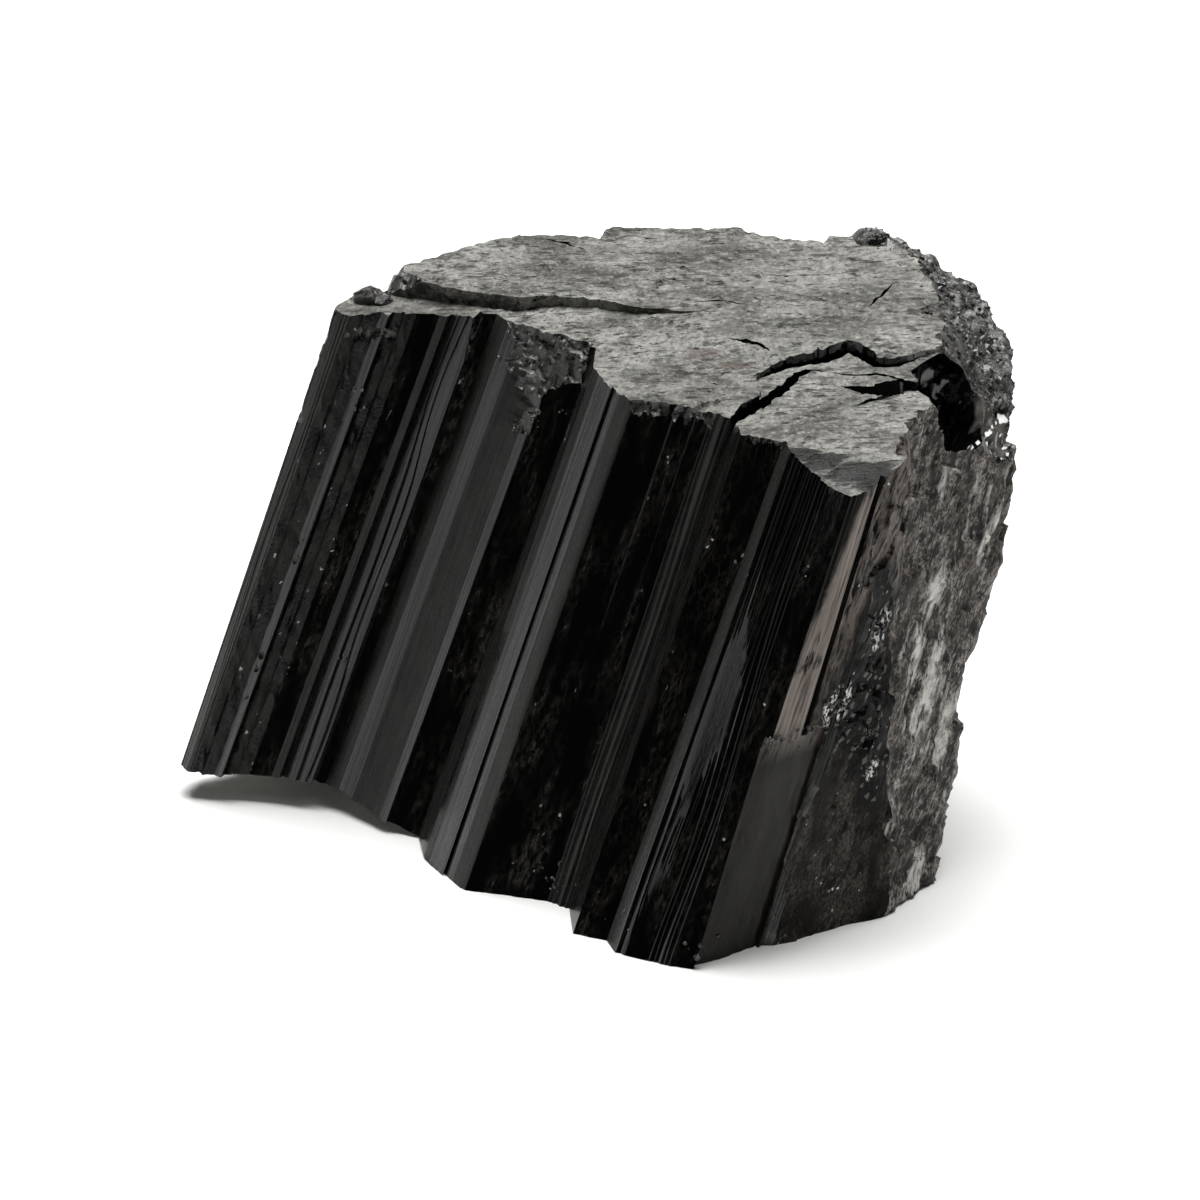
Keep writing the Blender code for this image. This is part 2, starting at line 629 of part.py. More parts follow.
def build():
    clear_scene()
    parts = new_collection("tourmaline_crystal")
    cutters = new_collection("cutters")
    pits = new_collection("pits")
    crystal = make_prism(parts)
    crystal.data.materials.append(schorl_material())
    apply_boolean(crystal, make_side_cutter(cutters))
    for cutter in make_end_cutters(cutters):
        apply_boolean(crystal, cutter)
    for number, crumb in enumerate(CRUMBS):
        apply_boolean(crystal, make_crumb(number, crumb, cutters), 'UNION')
    apply_boolean(crystal, make_pocket_cutter(cutters))
    for crack in CRACKS:
        apply_boolean(crystal, make_crack_cutter(*crack, cutters))
    for chip in CHIPS:
        apply_boolean(crystal, make_chip_cutter(*chip, cutters))
    apply_boolean(crystal, make_band_cutter(cutters))
    make_pits(pits)
    apply_collection(crystal, pits)
    apply_boolean(crystal, make_foot_cutter(cutters))


build()
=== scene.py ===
"""The looks of a broken chunk of black tourmaline (schorl).

The chunk is cut from a striated prism in the same order as the real one broke: the rough right side,
the ledges of the upper end, the pocket, the cracks, the chips and the foot. Places are millimetres in
the frame's own axes, until finish_mesh() turns them into metres.
"""

import math
import random

import bmesh
import bpy
from mathutils import Euler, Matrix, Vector, noise
from mathutils.bvhtree import BVHTree


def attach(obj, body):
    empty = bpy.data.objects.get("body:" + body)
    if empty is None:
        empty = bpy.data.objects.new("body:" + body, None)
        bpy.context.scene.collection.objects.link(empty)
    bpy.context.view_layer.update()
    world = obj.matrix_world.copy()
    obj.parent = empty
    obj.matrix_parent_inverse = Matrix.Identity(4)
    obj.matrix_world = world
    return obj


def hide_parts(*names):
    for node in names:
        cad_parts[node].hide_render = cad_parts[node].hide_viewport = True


MM = 0.001

# ---------------------------------------------------------------------------
# Camera, floor and lights
# ---------------------------------------------------------------------------

CAMERA_PLACE = (0.0005, -0.5008, 0.2630)
CAMERA_AIM = (0.0005, 0.0385, 0.0)
CAMERA_LENS = 211.8
FLOOR_SIZE = 6.0

# ---------------------------------------------------------------------------
# Prism
# ---------------------------------------------------------------------------

HEAD_Z = 38.0
STOCK_SPAN_Z = (0.0, 43.0)
ROW_STEP = 0.62          # spacing of the rings along the c-axis
AXIS_LEAN = (0.360, 0.268)

# Where the crest of a ridge lies on the facet, as a share of the ridge's width.
FRONT_CREST = 0.22
BACK_CREST = 0.72

# Plan directions of the prism faces whose narrow strips make up the striations.
LEFT_FACE_ALONG = Vector((0.45, -0.893))
FRONT_FACE_ALONG = Vector((0.985, -0.174))
TOOTH_ALONG = Vector((0.788, -0.616))
RETURN_ALONG = Vector((0.707, 0.707))
SHORTEST_LEFT = 0.04     # least share of a facet that its strips along the left face take up
WIDTH_DRIFT = 1.15       # how strongly the width of a strip changes along the c-axis
DRIFT_LENGTH = 13.0      # and over what length

# Material slots, by the kind of surface a face comes from.
(PRISM_FACE, SATIN_FACE, VEILED_FACE, ETCHED_FACE, FILMED_FACE, END_BREAK, SIDE_BREAK, SPLINTER_BREAK,
 SHELL_BREAK, RUBBLE) = range(10)

# How a facet is laid out: its material, the angle between its strips in degrees (None where they follow
# the prism faces), how uneven their widths are and how far they may stand off the facet, in mm.
SMOOTH = (PRISM_FACE, 0.0, 0.0, 0.0)
SATIN = (SATIN_FACE, 0.0, 0.0, 0.0)
FINE = (PRISM_FACE, 4.0, 0.6, 0.1)         # a clean band of nearly level strips
TOOTHED = (PRISM_FACE, None, 0.35, 1.2)    # saw-toothed, with broad sides turned left
DARK = (VEILED_FACE, 5.0, 0.8, 0.1)        # black, with veils
RIBBED = (SATIN_FACE, None, 1.1, 0.18)     # satin, with a few narrow strips turned left
LINED = (VEILED_FACE, None, 0.5, 0.18)     # black, with fine grey lines
ETCHED = (ETCHED_FACE, 12.0, 0.6, 0.15)    # dull and granular
FILMED = (FILMED_FACE, 14.0, 0.7, 0.2)     # under a brownish film
BROKEN = (SIDE_BREAK, 20.0, 0.7, 0.2)      # broken off roughly along the facet
ETCHED_RELIEF = 0.16

# The corners of the prism, in turn: x and y at the foot, lean to the right and to the back for each mm
# of height, then the facet that starts there: how it is laid out, the spacing of its striations, its
# ridges and how far they stand out. A row leaves out the last three where they are as in PLAIN_FACET.
PLAIN_FACET = (0.0, 0, 0.0)
FRONT_CORNERS = (
    (-34.0, 3.1, 0.353, 0.268, RIBBED, 0.40),           # narrow ribbed rim
    (-33.2, 1.9, 0.360, 0.268, ETCHED, 0.45, 2, 0.16),  # pitted face
    (-31.3, 1.6, 0.376, 0.268, SMOOTH),                 # low ridge
    (-30.7, 1.0, 0.378, 0.268, SATIN),                  # its other side
    (-30.4, 1.7, 0.379, 0.268, ETCHED, 0.50, 2, 0.12),  # etched part of the dark face
    (-28.5, 1.35, 0.379, 0.268, DARK, 0.50, 1, 0.06),   # dark face
    (-26.7, 1.0, 0.379, 0.268, SATIN),                  # thin light strip
    (-26.1, 0.5, 0.379, 0.268, SATIN),                  # its other side
    (-25.8, 1.1, 0.379, 0.268, TOOTHED, 0.80),          # first light band, ribbed
    (-23.4, -0.1, 0.378, 0.268, SMOOTH),                # wall of the first groove
    (-23.25, 0.75, 0.377, 0.268, DARK),                 # bottom of the first groove
    (-22.2, 0.58, 0.377, 0.268, SATIN),                 # second light band, dim part
    (-21.1, -0.35, 0.377, 0.268, FINE, 0.60),           # second light band
    (-19.9, -1.3, 0.374, 0.268, SATIN),                 # smooth broad facet
    (-17.5, -3.4, 0.374, 0.268, SMOOTH),                # bright edge beside the recess
    (-16.9, -4.0, 0.374, 0.268, SMOOTH),                # wall of the recess
    (-16.7, -3.7, 0.375, 0.268, DARK, 0.60),            # dark recess
    (-14.0, -4.7, 0.372, 0.268, SATIN, 0.70),           # left wall of the third band
    (-13.5, -8.2, 0.356, 0.268, SATIN),                 # third light band, dim part
    (-13.05, -9.0, 0.356, 0.268, FINE, 0.80),           # third light band, first stripe
    (-11.9, -11.0, 0.354, 0.268, SMOOTH),               # dark line between the stripes
    (-11.8, -10.7, 0.354, 0.268, FINE, 0.70),           # third light band, second stripe
    (-11.15, -11.85, 0.353, 0.268, SATIN),              # its dim part
    (-10.5, -13.0, 0.352, 0.268, SATIN),                # its rounded edge
    (-10.1, -13.4, 0.352, 0.268, DARK, 0.60, 2, 0.05),  # broad dark face
    (-6.6, -14.3, 0.347, 0.271, DARK, 0.55, 2, 0.10),   # its veiled part
    (-3.6, -15.2, 0.342, 0.275, RIBBED, 0.50),          # fourth light band
    (-1.9, -16.4, 0.343, 0.286, SATIN),                 # step forward
    (-1.6, -20.5, 0.350, 0.330, DARK, 0.60),            # dark face beside the step
    (1.0, -21.6, 0.368, 0.325, SATIN),                  # grey ridge
    (1.6, -23.4, 0.366, 0.345, LINED, 0.42),            # finely ribbed dark face
    (6.4, -25.8, 0.325, 0.315, DARK, 0.60),             # dark strip
    (8.0, -26.3, 0.328, 0.298, FILMED, 0.45, 1, 0.08),  # front corner and light band
    (10.6, -25.1, 0.306, 0.284, SATIN),                 # thin groove beside the band
    (10.75, -24.4, 0.306, 0.284, SATIN),                # its other side
    (11.1, -24.6, 0.306, 0.284, BROKEN, 0.50),          # rough strip right of the band
)
STOCK_CORNERS = (
    (12.9, -22.4, 0.308, 0.275, SMOOTH),
    (44.0, -22.0, 0.308, 0.268, SMOOTH),
    (44.0, 22.0, 0.335, 0.268, SMOOTH),
    (10.4, 19.5, 0.335, 0.268, SMOOTH),
)
BACK_CORNERS = (
    (9.9, 15.8, 0.340, 0.268, DARK, 0.50, 3, 0.35),    # ribbed face
    (5.6, 15.2, 0.345, 0.268, DARK, 0.50),             # groove wall
    (5.0, 13.9, 0.347, 0.268, DARK, 0.45, 2, 0.25),    # recessed face
    (1.6, 14.3, 0.350, 0.268, DARK, 0.60, 3, 0.30),
    (-3.2, 15.8, 0.358, 0.268, DARK, 0.50, 4, 0.18),   # broad face
    (-9.6, 15.8, 0.362, 0.268, DARK, 0.60, 2, 0.40),   # two strong ribs
    (-13.4, 15.3, 0.364, 0.268, DARK, 0.50),
    (-13.9, 13.6, 0.365, 0.268, DARK, 0.45, 3, 0.18),  # step and broad face
    (-19.3, 13.9, 0.367, 0.268, DARK, 0.50, 2, 0.30),
    (-23.0, 12.4, 0.370, 0.268, DARK, 0.55, 3, 0.22),
    (-27.4, 8.8, 0.373, 0.268, DARK, 0.50, 2, 0.30),
    (-30.5, 6.6, 0.368, 0.268, DARK, 0.45, 2, 0.20),
    (-33.0, 5.1, 0.358, 0.268, DARK, 0.40, 1, 0.15),
)

# ---------------------------------------------------------------------------
# Rough right side
# ---------------------------------------------------------------------------

# x and y at the foot, x and y at the head, and how late the edge swings out (1 is straight).
SIDE_EDGES = (
    (11.4, -28.0, 23.1, -18.0, 1.0),
    (12.4, -23.1, 24.1, -12.9, 1.0),
    (22.6, -17.8, 23.9, -5.9, 1.0),    # edge between the two rough faces
    (26.9, -12.3, 34.9, 3.6, 1.38),    # right-hand outline
    (26.8, -3.5, 34.4, 9.5, 1.3),
    (24.4, 4.0, 33.1, 13.8, 1.1),
    (20.3, 9.8, 31.0, 19.8, 1.0),
    (16.4, 13.0, 28.2, 23.0, 1.0),
    (12.4, 14.6, 25.1, 24.9, 1.0),
    (9.2, 16.4, 21.9, 26.7, 1.0),
    (6.0, 30.0, 18.7, 40.2, 1.0),
)
SIDE_SPAN_Z = (-1.5, 44.5)
SIDE_CELL = 0.34
SIDE_BACK_CELL = 0.60    # past the edge that the right-hand outline follows
SIDE_RELIEF = 0.75
SIDE_FINE_RELIEF = 0.3
SIDE_FLAKES = 0.75       # depth of the flat flakes
SIDE_GRAIN = 0.16        # depth of the smallest facets
CRUSHED_GRAIN = 0.55     # the same in the crushed patch
CRUSHED_PLACE = (14.4, -20.3, 17.5)     # in crystal space
CRUSHED_RADII = (3.4, 3.4, 8.0)

# ---------------------------------------------------------------------------
# Upper end
# ---------------------------------------------------------------------------

UPPER_LEDGE = (39.3, -0.025, 0.010)
MIDDLE_LEDGE = (37.6, 0.020, 0.093)
END_CELL = 0.36
END_RELIEF = 0.16
END_STEPS = 0.21        # height of the small steps of the break
CREST_DIP = 0.45         # how far the middle ledge dips beside the left end of the upper one
CREST_MEET = 0.55        # how far it comes up to the upper one at the right
END_SPAN_X = (-24.0, 36.0)
END_SPAN_Y = (-24.0, 30.0)

UPPER_CREST = (
    (-24.0, 19.4), (-17.6, 17.2), (-16.4, 15.6), (-13.2, 14.5), (-10.0, 13.3), (-6.0, 12.0),
    (-2.9, 12.4), (0.3, 12.0), (3.5, 10.8), (8.2, 9.9), (12.9, 8.4), (17.5, 6.4),
    (21.5, 5.4), (25.0, 6.2), (34.0, 5.0),
)
LOWER_CREST = (
    (9.6, -9.0), (10.6, -6.0), (12.7, -3.4), (14.7, -0.9), (15.9, 1.4), (16.9, 2.1),
    (19.8, 1.2), (22.1, 1.2), (24.0, -0.1), (26.2, -2.4), (30.0, -4.5),
)
LOWER_LEDGE_DROP = 0.35
SLIVER_EDGE = (
    (13.0, -1.6), (12.6, 0.5), (13.9, 1.8), (15.1, 2.7), (18.3, 3.6), (19.9, 4.5),
    (20.8, 4.1), (22.2, 2.6), (23.7, 2.7), (25.7, 3.5), (28.0, 4.6),
)
SLIVER_DROP = 0.40
RIM_TOP_Z = 38.9
RIM_LINE = ((22.6, -12.0), (24.2, -6.0), (25.8, 0.5), (27.0, 8.0), (27.4, 14.0), (26.0, 20.0), (23.0, 28.0))
RIM_FALL_FRONT = 1.28
RIM_FALL_BACK = 0.45
RIM_RELIEF = 0.8
RIM_GRAIN = 0.38
LEDGE_PLAN_Z = (24.0, 54.0)
LEDGE_DEPTH = 12.0
EDGE_RAGGED = 0.22       # how far a ledge's edge wanders from its line

# Cracks: width and depth at the middle, then the line.
CRACKS = (
    ("lower_crack", 1.25, 3.4, (
        (10.2, -7.6), (10.9, -5.6), (12.7, -3.4), (14.7, -0.9), (15.9, 1.3), (16.9, 2.1), (18.4, 1.8),
    )),
    ("long_crack", 0.45, 1.6, ((17.6, 1.9), (19.8, 1.2), (22.1, 1.2), (24.0, 0.0), (26.0, -2.0))),
    ("upper_crack", 1.15, 2.8, (
        (12.3, 0.4), (13.9, 1.7), (15.1, 2.7), (18.3, 3.6), (19.9, 4.5), (20.8, 4.1), (22.2, 2.7),
        (23.7, 2.7), (26.0, 3.6),
    )),
    ("pit_crack", 2.6, 1.8, ((19.0, -0.4), (21.0, -1.2), (22.4, -1.2), (24.4, -0.9), (27.0, -0.8))),
    ("fork_crack", 1.1, 1.2, ((20.0, -3.6), (21.2, -3.0), (22.6, -2.2), (24.6, -1.6))),
    ("left_nick", 0.8, 1.0, ((10.6, 5.6), (11.6, 5.3), (12.6, 4.8), (13.8, 4.0))),
    ("back_crack", 1.10, 1.5, ((20.4, 10.6), (21.6, 11.7), (22.8, 13.9), (23.8, 16.0), (25.6, 17.6))),
    ("back_notch", 0.70, 1.4, ((-3.8, 23.4), (-2.2, 22.9), (-0.6, 21.9))),
    ("small_crack", 0.75, 0.9, ((7.8, 11.9), (10.4, 12.1), (12.4, 11.3))),
    ("short_crack", 0.90, 1.0, ((6.4, 18.1), (7.6, 18.7), (8.9, 19.9))),
)

# Loose-looking grains that are still fused on: middle, reach and how crowded they are.
GRAIN_PLACES = (
    ((13.8, -21.7, 17.1), 1.3, 1.0), ((15.6, -19.7, 16.6), 1.4, 1.0),     # ledge of the broken band
    ((-5.8, 5.5, 31.4), 0.9, 0.8), ((-4.5, 4.9, 32.2), 0.8, 0.8), ((-2.6, 4.4, 33.4), 0.7, 0.5),
    ((-5.2, 8.2, 36.4), 3.2, 0.15),                                       # front chip
    ((21.9, -13.1, 22.4), 2.4, 1.0), ((18.8, -17.3, 18.5), 2.4, 1.0),     # crushed patch
    ((20.7, -15.4, 14.7), 2.4, 1.0), ((21.5, -15.4, 11.6), 1.4, 1.0),
    ((-3.0, -14.6, 1.4), 1.8, 0.6), ((3.0, -21.6, 1.0), 2.0, 0.6), ((8.0, -25.6, 0.8), 2.2, 0.6),
    ((-20.2, 3.3, 11.8), 1.2, 0.5), ((-19.0, 9.6, 32.0), 2.0, 0.3), ((-17.4, 11.0, 37.0), 1.3, 0.5),
)
RIM_GRAIN_SPAN = ((22.0, 34.0), (-12.0, 27.0))
RIM_GRAINS_START_Z = 30.0
RIM_GRAINS_PER_MM2 = 4.5
GRAINS_START_Z = 0.9     # none lower, so that none is pushed into what the crystal lies on
GRAINS_PER_MM2 = 12.0
GRAIN_STRAY = 0.35       # share of the reach that a grain usually lies from the middle
GRAIN_RADIUS = (0.07, 0.24)

# Chips: middle of the chipped face, the way it faces, width, height, roughness and surface.
CHIPS = (
    ("corner_chip", (-21.6, 10.4, 34.6), (-0.93, -0.05, 0.37), 22.0, 13.0, 0.25, RUBBLE),
    ("left_chip", (-15.2, 17.2, 39.6), (-0.60, -0.30, 0.74), 6.5, 4.6, 0.40, RUBBLE),
    ("bevel_chip", (19.0, -12.2, 36.6), (-0.10, -0.37, 0.92), 12.0, 9.0, 0.10, END_BREAK),
    ("front_chip", (-5.24, 7.49, 35.87), (-0.434, -0.748, 0.50), 10.4, 11.0, 0.34, RUBBLE),
)
CHIP_CELL = 0.30
CHIP_DEPTH = 6.0

BAND_BREAK_Z = 17.0
BAND_BREAK = ((7.5, -28.0), (7.7, -25.6), (9.5, -24.7), (10.9, -23.6), (12.5, -22.4), (14.5, -26.0))
BAND_ROW = 0.8
BAND_LEAN = (0.308, 0.268)

# Rows of small pits: where each starts and ends, how many, how far they stray, and their sizes.
PIT_ROWS = (
    ((-30.5, 2.3, 4.0), (-19.0, 10.6, 35.0), 30, 1.2, (0.18, 0.55)),      # pitted face
    ((-26.0, 3.3, 9.0), (-15.8, 10.5, 36.0), 16, 1.2, (0.18, 0.55)),      # dark face
    ((2.6, -3.2, 37.6), (9.2, -5.5, 37.1), 26, 0.35, (0.35, 0.95)),       # front edge of the upper end
    ((9.2, -5.5, 37.1), (11.2, -7.2, 36.9), 7, 0.25, (0.25, 0.55)),
    ((11.6, -8.6, 36.9), (15.0, -9.9, 36.8), 8, 0.25, (0.20, 0.50)),
    ((-19.8, 11.4, 36.6), (-15.8, 11.4, 36.5), 10, 0.3, (0.25, 0.60)),    # its front edge at the left
    ((-15.8, 11.6, 37.4), (-9.8, 11.6, 37.4), 16, 0.3, (0.18, 0.42)),
)

# Short ticks of the flat break: the room for each, and the sizes of one.
TICK_ROOM = (2.7, 1.5)
TICK_LENGTH = (0.6, 2.6)
TICK_WIDTH = (0.08, 0.24)

FOOT_RISE = 2.1
FOOT_RISE_STARTS_X = -11.0
FOOT_RISE_LENGTH = 11.0
FOOT_CELL = 0.8

POCKET_PLACE = (27.6, 0.6, 35.2)
POCKET_RADII = (3.5, 4.2, 5.4)
SCOOP_PLACE = (33.0, 1.6, 35.0)
SCOOP_RADII = (2.1, 4.2, 4.6)
POCKET_LEAN = math.radians(18)

CRUMBS = (
    (-17.9, 15.2, 38.3, 1.05),
    (-16.7, 14.7, 38.1, 0.85),
    (22.4, 25.4, 38.8, 1.5),
    (24.0, 24.2, 38.4, 1.1),
    (26.3, 21.4, 37.6, 1.3),
    (28.3, 17.6, 36.8, 1.0),
    (26.4, 11.0, 38.3, 0.9),
    (27.4, 8.2, 37.6, 0.9),
)


# ---------------------------------------------------------------------------
# Mesh tools
# ---------------------------------------------------------------------------

def finish_mesh(name, bm, surface=None):
    """Turns a bmesh in millimetres into an object in metres, all of it one kind of surface if given."""
    bmesh.ops.triangulate(bm, faces=bm.faces)
    bmesh.ops.recalc_face_normals(bm, faces=bm.faces)
    bmesh.ops.scale(bm, vec=(MM, MM, MM), verts=bm.verts)
    if surface is not None:
        for face in bm.faces:
            face.material_index = surface
    mesh = bpy.data.meshes.new(name)
    bm.to_mesh(mesh)
    bm.free()
    for _ in range(RUBBLE + 1):
        mesh.materials.append(None)
    thing = bpy.data.objects.new(name, mesh)
    bpy.context.scene.collection.objects.link(thing)
    return thing


def cut(target, cutter, operation='DIFFERENCE'):
    """Cuts one closed mesh with another for good, and removes the cutter."""
    boolean = target.modifiers.new(cutter.name, 'BOOLEAN')
    boolean.operation = operation
    boolean.solver = 'MANIFOLD'
    boolean.object = cutter
    graph = bpy.context.evaluated_depsgraph_get()
    mesh = bpy.data.meshes.new_from_object(target.evaluated_get(graph))
    target.modifiers.clear()
    before = target.data
    target.data = mesh
    bpy.data.meshes.remove(before)
    bpy.data.objects.remove(cutter)
    return target


def smooth_step(value):
    value = min(1.0, max(0.0, value))
    return value * value * (3.0 - 2.0 * value)


def relief(x, y, z, grain, seed):
    """Smooth noise from about -1 to 1 whose lumps are grain mm wide."""
    place = Vector((x / grain + seed, y / grain - seed, z / grain + 2.0 * seed))
    return noise.fractal(place, 0.9, 2.1, 3)


def bent(place):
    """The place, moved a little by three noises. Blender's own noise_vector isn't the same each run."""
    wave = place * 1.7
    offs = [noise.noise(wave + Vector((number * 9.3, number * 5.1, -number * 7.9))) for number in range(3)]
    return place + 0.22 * Vector(offs)


def flakes(x, y, z, size, seed):
    """Flat tilted facets with sharp steps between them, from about -1 to 1, as brittle stone breaks."""
    place = bent(Vector((x / size[0] + seed, y / size[1] - seed, z / size[2] + 2.0 * seed)))
    nearest = noise.voronoi(place)[1][0]
    tilt = noise.cell_vector(nearest * 31.7)
    return 0.9 * tilt.dot(place - nearest) + 0.55 * noise.cell(nearest * 17.3)


def ragged(line, step, wander, seed, closed=False):
    """The line with more points, which wander to either side of it."""
    points = []
    ends = list(line) + ([line[0]] if closed else [])
    for begin, end in zip(ends, ends[1:]):
        a, b = Vector(begin), Vector(end)
        pieces = max(1, round((b - a).length / step))
        across = Vector((-(b - a).y, (b - a).x)).normalized()
        for piece in range(pieces):
            point = a.lerp(b, piece / pieces)
            off = noise.fractal(Vector((point.x * 0.9, point.y * 0.9, seed)), 0.7, 2.2, 3)
            points.append(point + across * wander * off * (0.0 if piece == 0 else 1.0))
    if not closed:
        points.append(Vector(line[-1]))
    return points


def line_y(line, x):
    for (x0, y0), (x1, y1) in zip(line, line[1:]):
        if x <= x1:
            return y0 + (y1 - y0) * max(0.0, (x - x0) / (x1 - x0))
    return line[-1][1]


def line_x(line, y):
    for (x0, y0), (x1, y1) in zip(line, line[1:]):
        if y <= y1:
            share = max(0.0, (y - y0) / (y1 - y0))
            return x0 + share * (x1 - x0)
    return line[-1][0]


# ---------------------------------------------------------------------------
# Striated prism
# ---------------------------------------------------------------------------

def ridged_facet(corner, following, ridges, stand_out, crest_place, rng):
    """Outline points of one facet with its ridges, each point with its lean."""
    start = Vector(corner[:4])
    along = Vector(following[:4]) - start
    outward = Vector((along.y, -along.x, 0.0, 0.0)).normalized()
    points = [start]
    if ridges == 0:
        return points
    starts = [0.0]
    for ridge in range(1, ridges):
        starts.append((ridge + rng.uniform(-0.22, 0.22)) / ridges)
    starts.append(1.0)
    for begin, end in zip(starts, starts[1:]):
        if begin > 0.0:
            points.append(start + along * begin)
        crest = begin + (end - begin) * (crest_place + rng.uniform(-0.08, 0.08))
        rise = outward * stand_out * rng.uniform(0.6, 1.0)
        point = start + along * crest + rise
        if crest_place == FRONT_CREST:      # a front ridge stands out twice as far at the head
            point.z += rise.x / HEAD_Z
            point.w += rise.y / HEAD_Z
        points.append(point)
    return points


def prism_outline():
    """Points of the outline, each with the layout and the spacing of the striations that follow it."""
    rng = random.Random(7)
    corners = [(corner, FRONT_CREST) for corner in FRONT_CORNERS + STOCK_CORNERS]
    corners += [(corner, BACK_CREST) for corner in BACK_CORNERS]
    points = []
    for (corner, crest_place), (following, _) in zip(corners, corners[1:] + corners[:1]):
        style = corner[4]
        spacing, ridges, stand_out = corner[5:] + PLAIN_FACET[len(corner) - 5:]
        for point in ridged_facet(corner, following, ridges, stand_out, crest_place, rng):
            points.append((point, style, spacing))
    return points


def strip_directions(chord, style):
    """The two kinds of strip, each in one piece, that together make up a facet along chord."""
    spread = style[1]
    if spread is not None:
        side = Vector((-chord.y, chord.x)) * 0.5 * math.tan(math.radians(spread))
        return chord * 0.5 - side, chord * 0.5 + side
    left, front = (TOOTH_ALONG, RETURN_ALONG) if style is TOOTHED else (LEFT_FACE_ALONG, FRONT_FACE_ALONG)
    turn = left.x * front.y - left.y * front.x
    of_left = max((chord.x * front.y - chord.y * front.x) / turn, SHORTEST_LEFT * chord.length)
    return left * of_left, chord - left * of_left


def strip_weights(style, number, z, shares):
    """How much of the two kinds of strip each pair has at height z. The widths drift along the axis."""
    weights = []
    for strip, (wide, narrow) in enumerate(shares):
        place = Vector((number * 3.7 + strip * 5.3, z / DRIFT_LENGTH, 0.0))
        wide *= math.exp(WIDTH_DRIFT * noise.noise(place))
        narrow *= math.exp(WIDTH_DRIFT * noise.noise(place + Vector((0.0, 40.0, 0.0))))
        weights.append((wide, wide if style is TOOTHED else narrow))
    wide_sum = sum(wide for wide, _ in weights)
    narrow_sum = sum(narrow for _, narrow in weights)
    return [(wide / wide_sum, narrow / narrow_sum) for wide, narrow in weights]


def striate(start, end, spacing, style, number, heights):
    """Columns of points from start up to end, which alternate between the two kinds of strip."""
    columns = [[Vector((start.x + start.z * z, start.y + start.w * z, z)) for z in heights]]
    chord = Vector((end.x - start.x, end.y - start.y))
    if spacing == 0.0 or chord.length < spacing:
        return columns
    count = max(1 if style is TOOTHED else 2, round(chord.length / spacing))
    _, _, uneven, reach = style
    left, front = strip_directions(chord, style)
    rng = random.Random(number * 17 + 3)
    shares = [(rng.lognormvariate(0.0, uneven), rng.uniform(0.4, 1.5)) for _ in range(count)]
    columns.extend([[] for _ in range(2 * count - 1)])
    unit = chord.normalized()
    across = Vector((unit.y, -unit.x))
    for z in heights:
        foot = Vector((start.x + start.z * z, start.y + start.w * z))
        stretch = Vector((end.x + end.z * z, end.y + end.w * z)) - foot
        walked = Vector((0.0, 0.0))
        steps = []
        for wide, narrow in strip_weights(style, number, z, shares):
            steps += [left * wide, front * narrow]
        for column, step in enumerate(steps[:-1], start=1):
            walked = walked + step
            off = max(-reach, min(reach, walked.dot(across)))
            point = foot + stretch * (walked.dot(unit) / chord.length)
            if style in (ETCHED, BROKEN):
                off += ETCHED_RELIEF * flakes(point.x, point.y, z, (0.8, 0.8, 1.5), 15.0)
            point += across * off
            columns[column].append(Vector((point.x, point.y, z)))
    return columns


def make_prism():
    low, high = STOCK_SPAN_Z
    rows = round((high - low) / ROW_STEP)
    heights = [low + (high - low) * row / rows for row in range(rows + 1)]
    outline = prism_outline()
    columns = []
    surfaces = []
    for number, (point, style, spacing) in enumerate(outline):
        following = outline[(number + 1) % len(outline)][0]
        facet = striate(point, following, spacing, style, number, heights)
        columns.extend(facet)
        surfaces.extend([style[0]] * len(facet))
    bm = bmesh.new()
    grid = [[bm.verts.new(place) for place in column] for column in columns]
    for near, far, surface in zip(grid, grid[1:] + grid[:1], surfaces):
        for row in range(rows):
            bm.faces.new((near[row], far[row], far[row + 1], near[row + 1])).material_index = surface
    bm.faces.new([column[0] for column in grid][::-1])
    bm.faces.new([column[-1] for column in grid])
    return finish_mesh("striated_crystal", bm)


# ---------------------------------------------------------------------------
# Breaks
# ---------------------------------------------------------------------------

def plane_height(plane, x, y):
    return plane[0] + plane[1] * x + plane[2] * y


def end_steps(x, y, seed):
    """The small steps of the flat break, drawn out along x."""
    coarse = flakes(x, y + 0.12 * x, 0.0, (6.5, 2.2, 1.0), seed)
    fine = flakes(x, y + 0.15 * x, 0.0, (1.7, 0.7, 1.0), seed + 3.0)
    return END_STEPS * (0.75 * coarse + 0.5 * fine)


def upper_end_height(x, y):
    rise = END_RELIEF * relief(x, y, 0.0, 9.0, 3.1)
    return plane_height(UPPER_LEDGE, x, y) + rise + end_steps(x, y, 1.0)


def middle_ledge_plain(x, y):
    dip = CREST_DIP * smooth_step((-1.0 - x) / 12.0) * smooth_step((y - 10.5) / 3.0)
    meet = CREST_MEET * smooth_step((x - 1.0) / 11.0) * smooth_step((y - 2.5) / 3.0)
    front = 0.06 * max(0.0, -7.0 - y)
    return plane_height(MIDDLE_LEDGE, x, y) + END_RELIEF * relief(x, y, 0.0, 7.0, 5.3) - dip + meet + front


def middle_ledge_height(x, y):
    return middle_ledge_plain(x, y) + end_steps(x, y, 2.0)


def rim_height(x, y):
    beyond = x - line_x(RIM_LINE, y)
    back = smooth_step((y + 4.0) / 28.0)
    fall = RIM_FALL_FRONT + (RIM_FALL_BACK - RIM_FALL_FRONT) * back
    grain = RIM_GRAIN * flakes(x, y, 0.0, (1.3, 1.3, 1.0), 4.0)
    return RIM_TOP_Z - fall * beyond + RIM_RELIEF * relief(x, y, 0.0, 3.2, 8.7) + grain


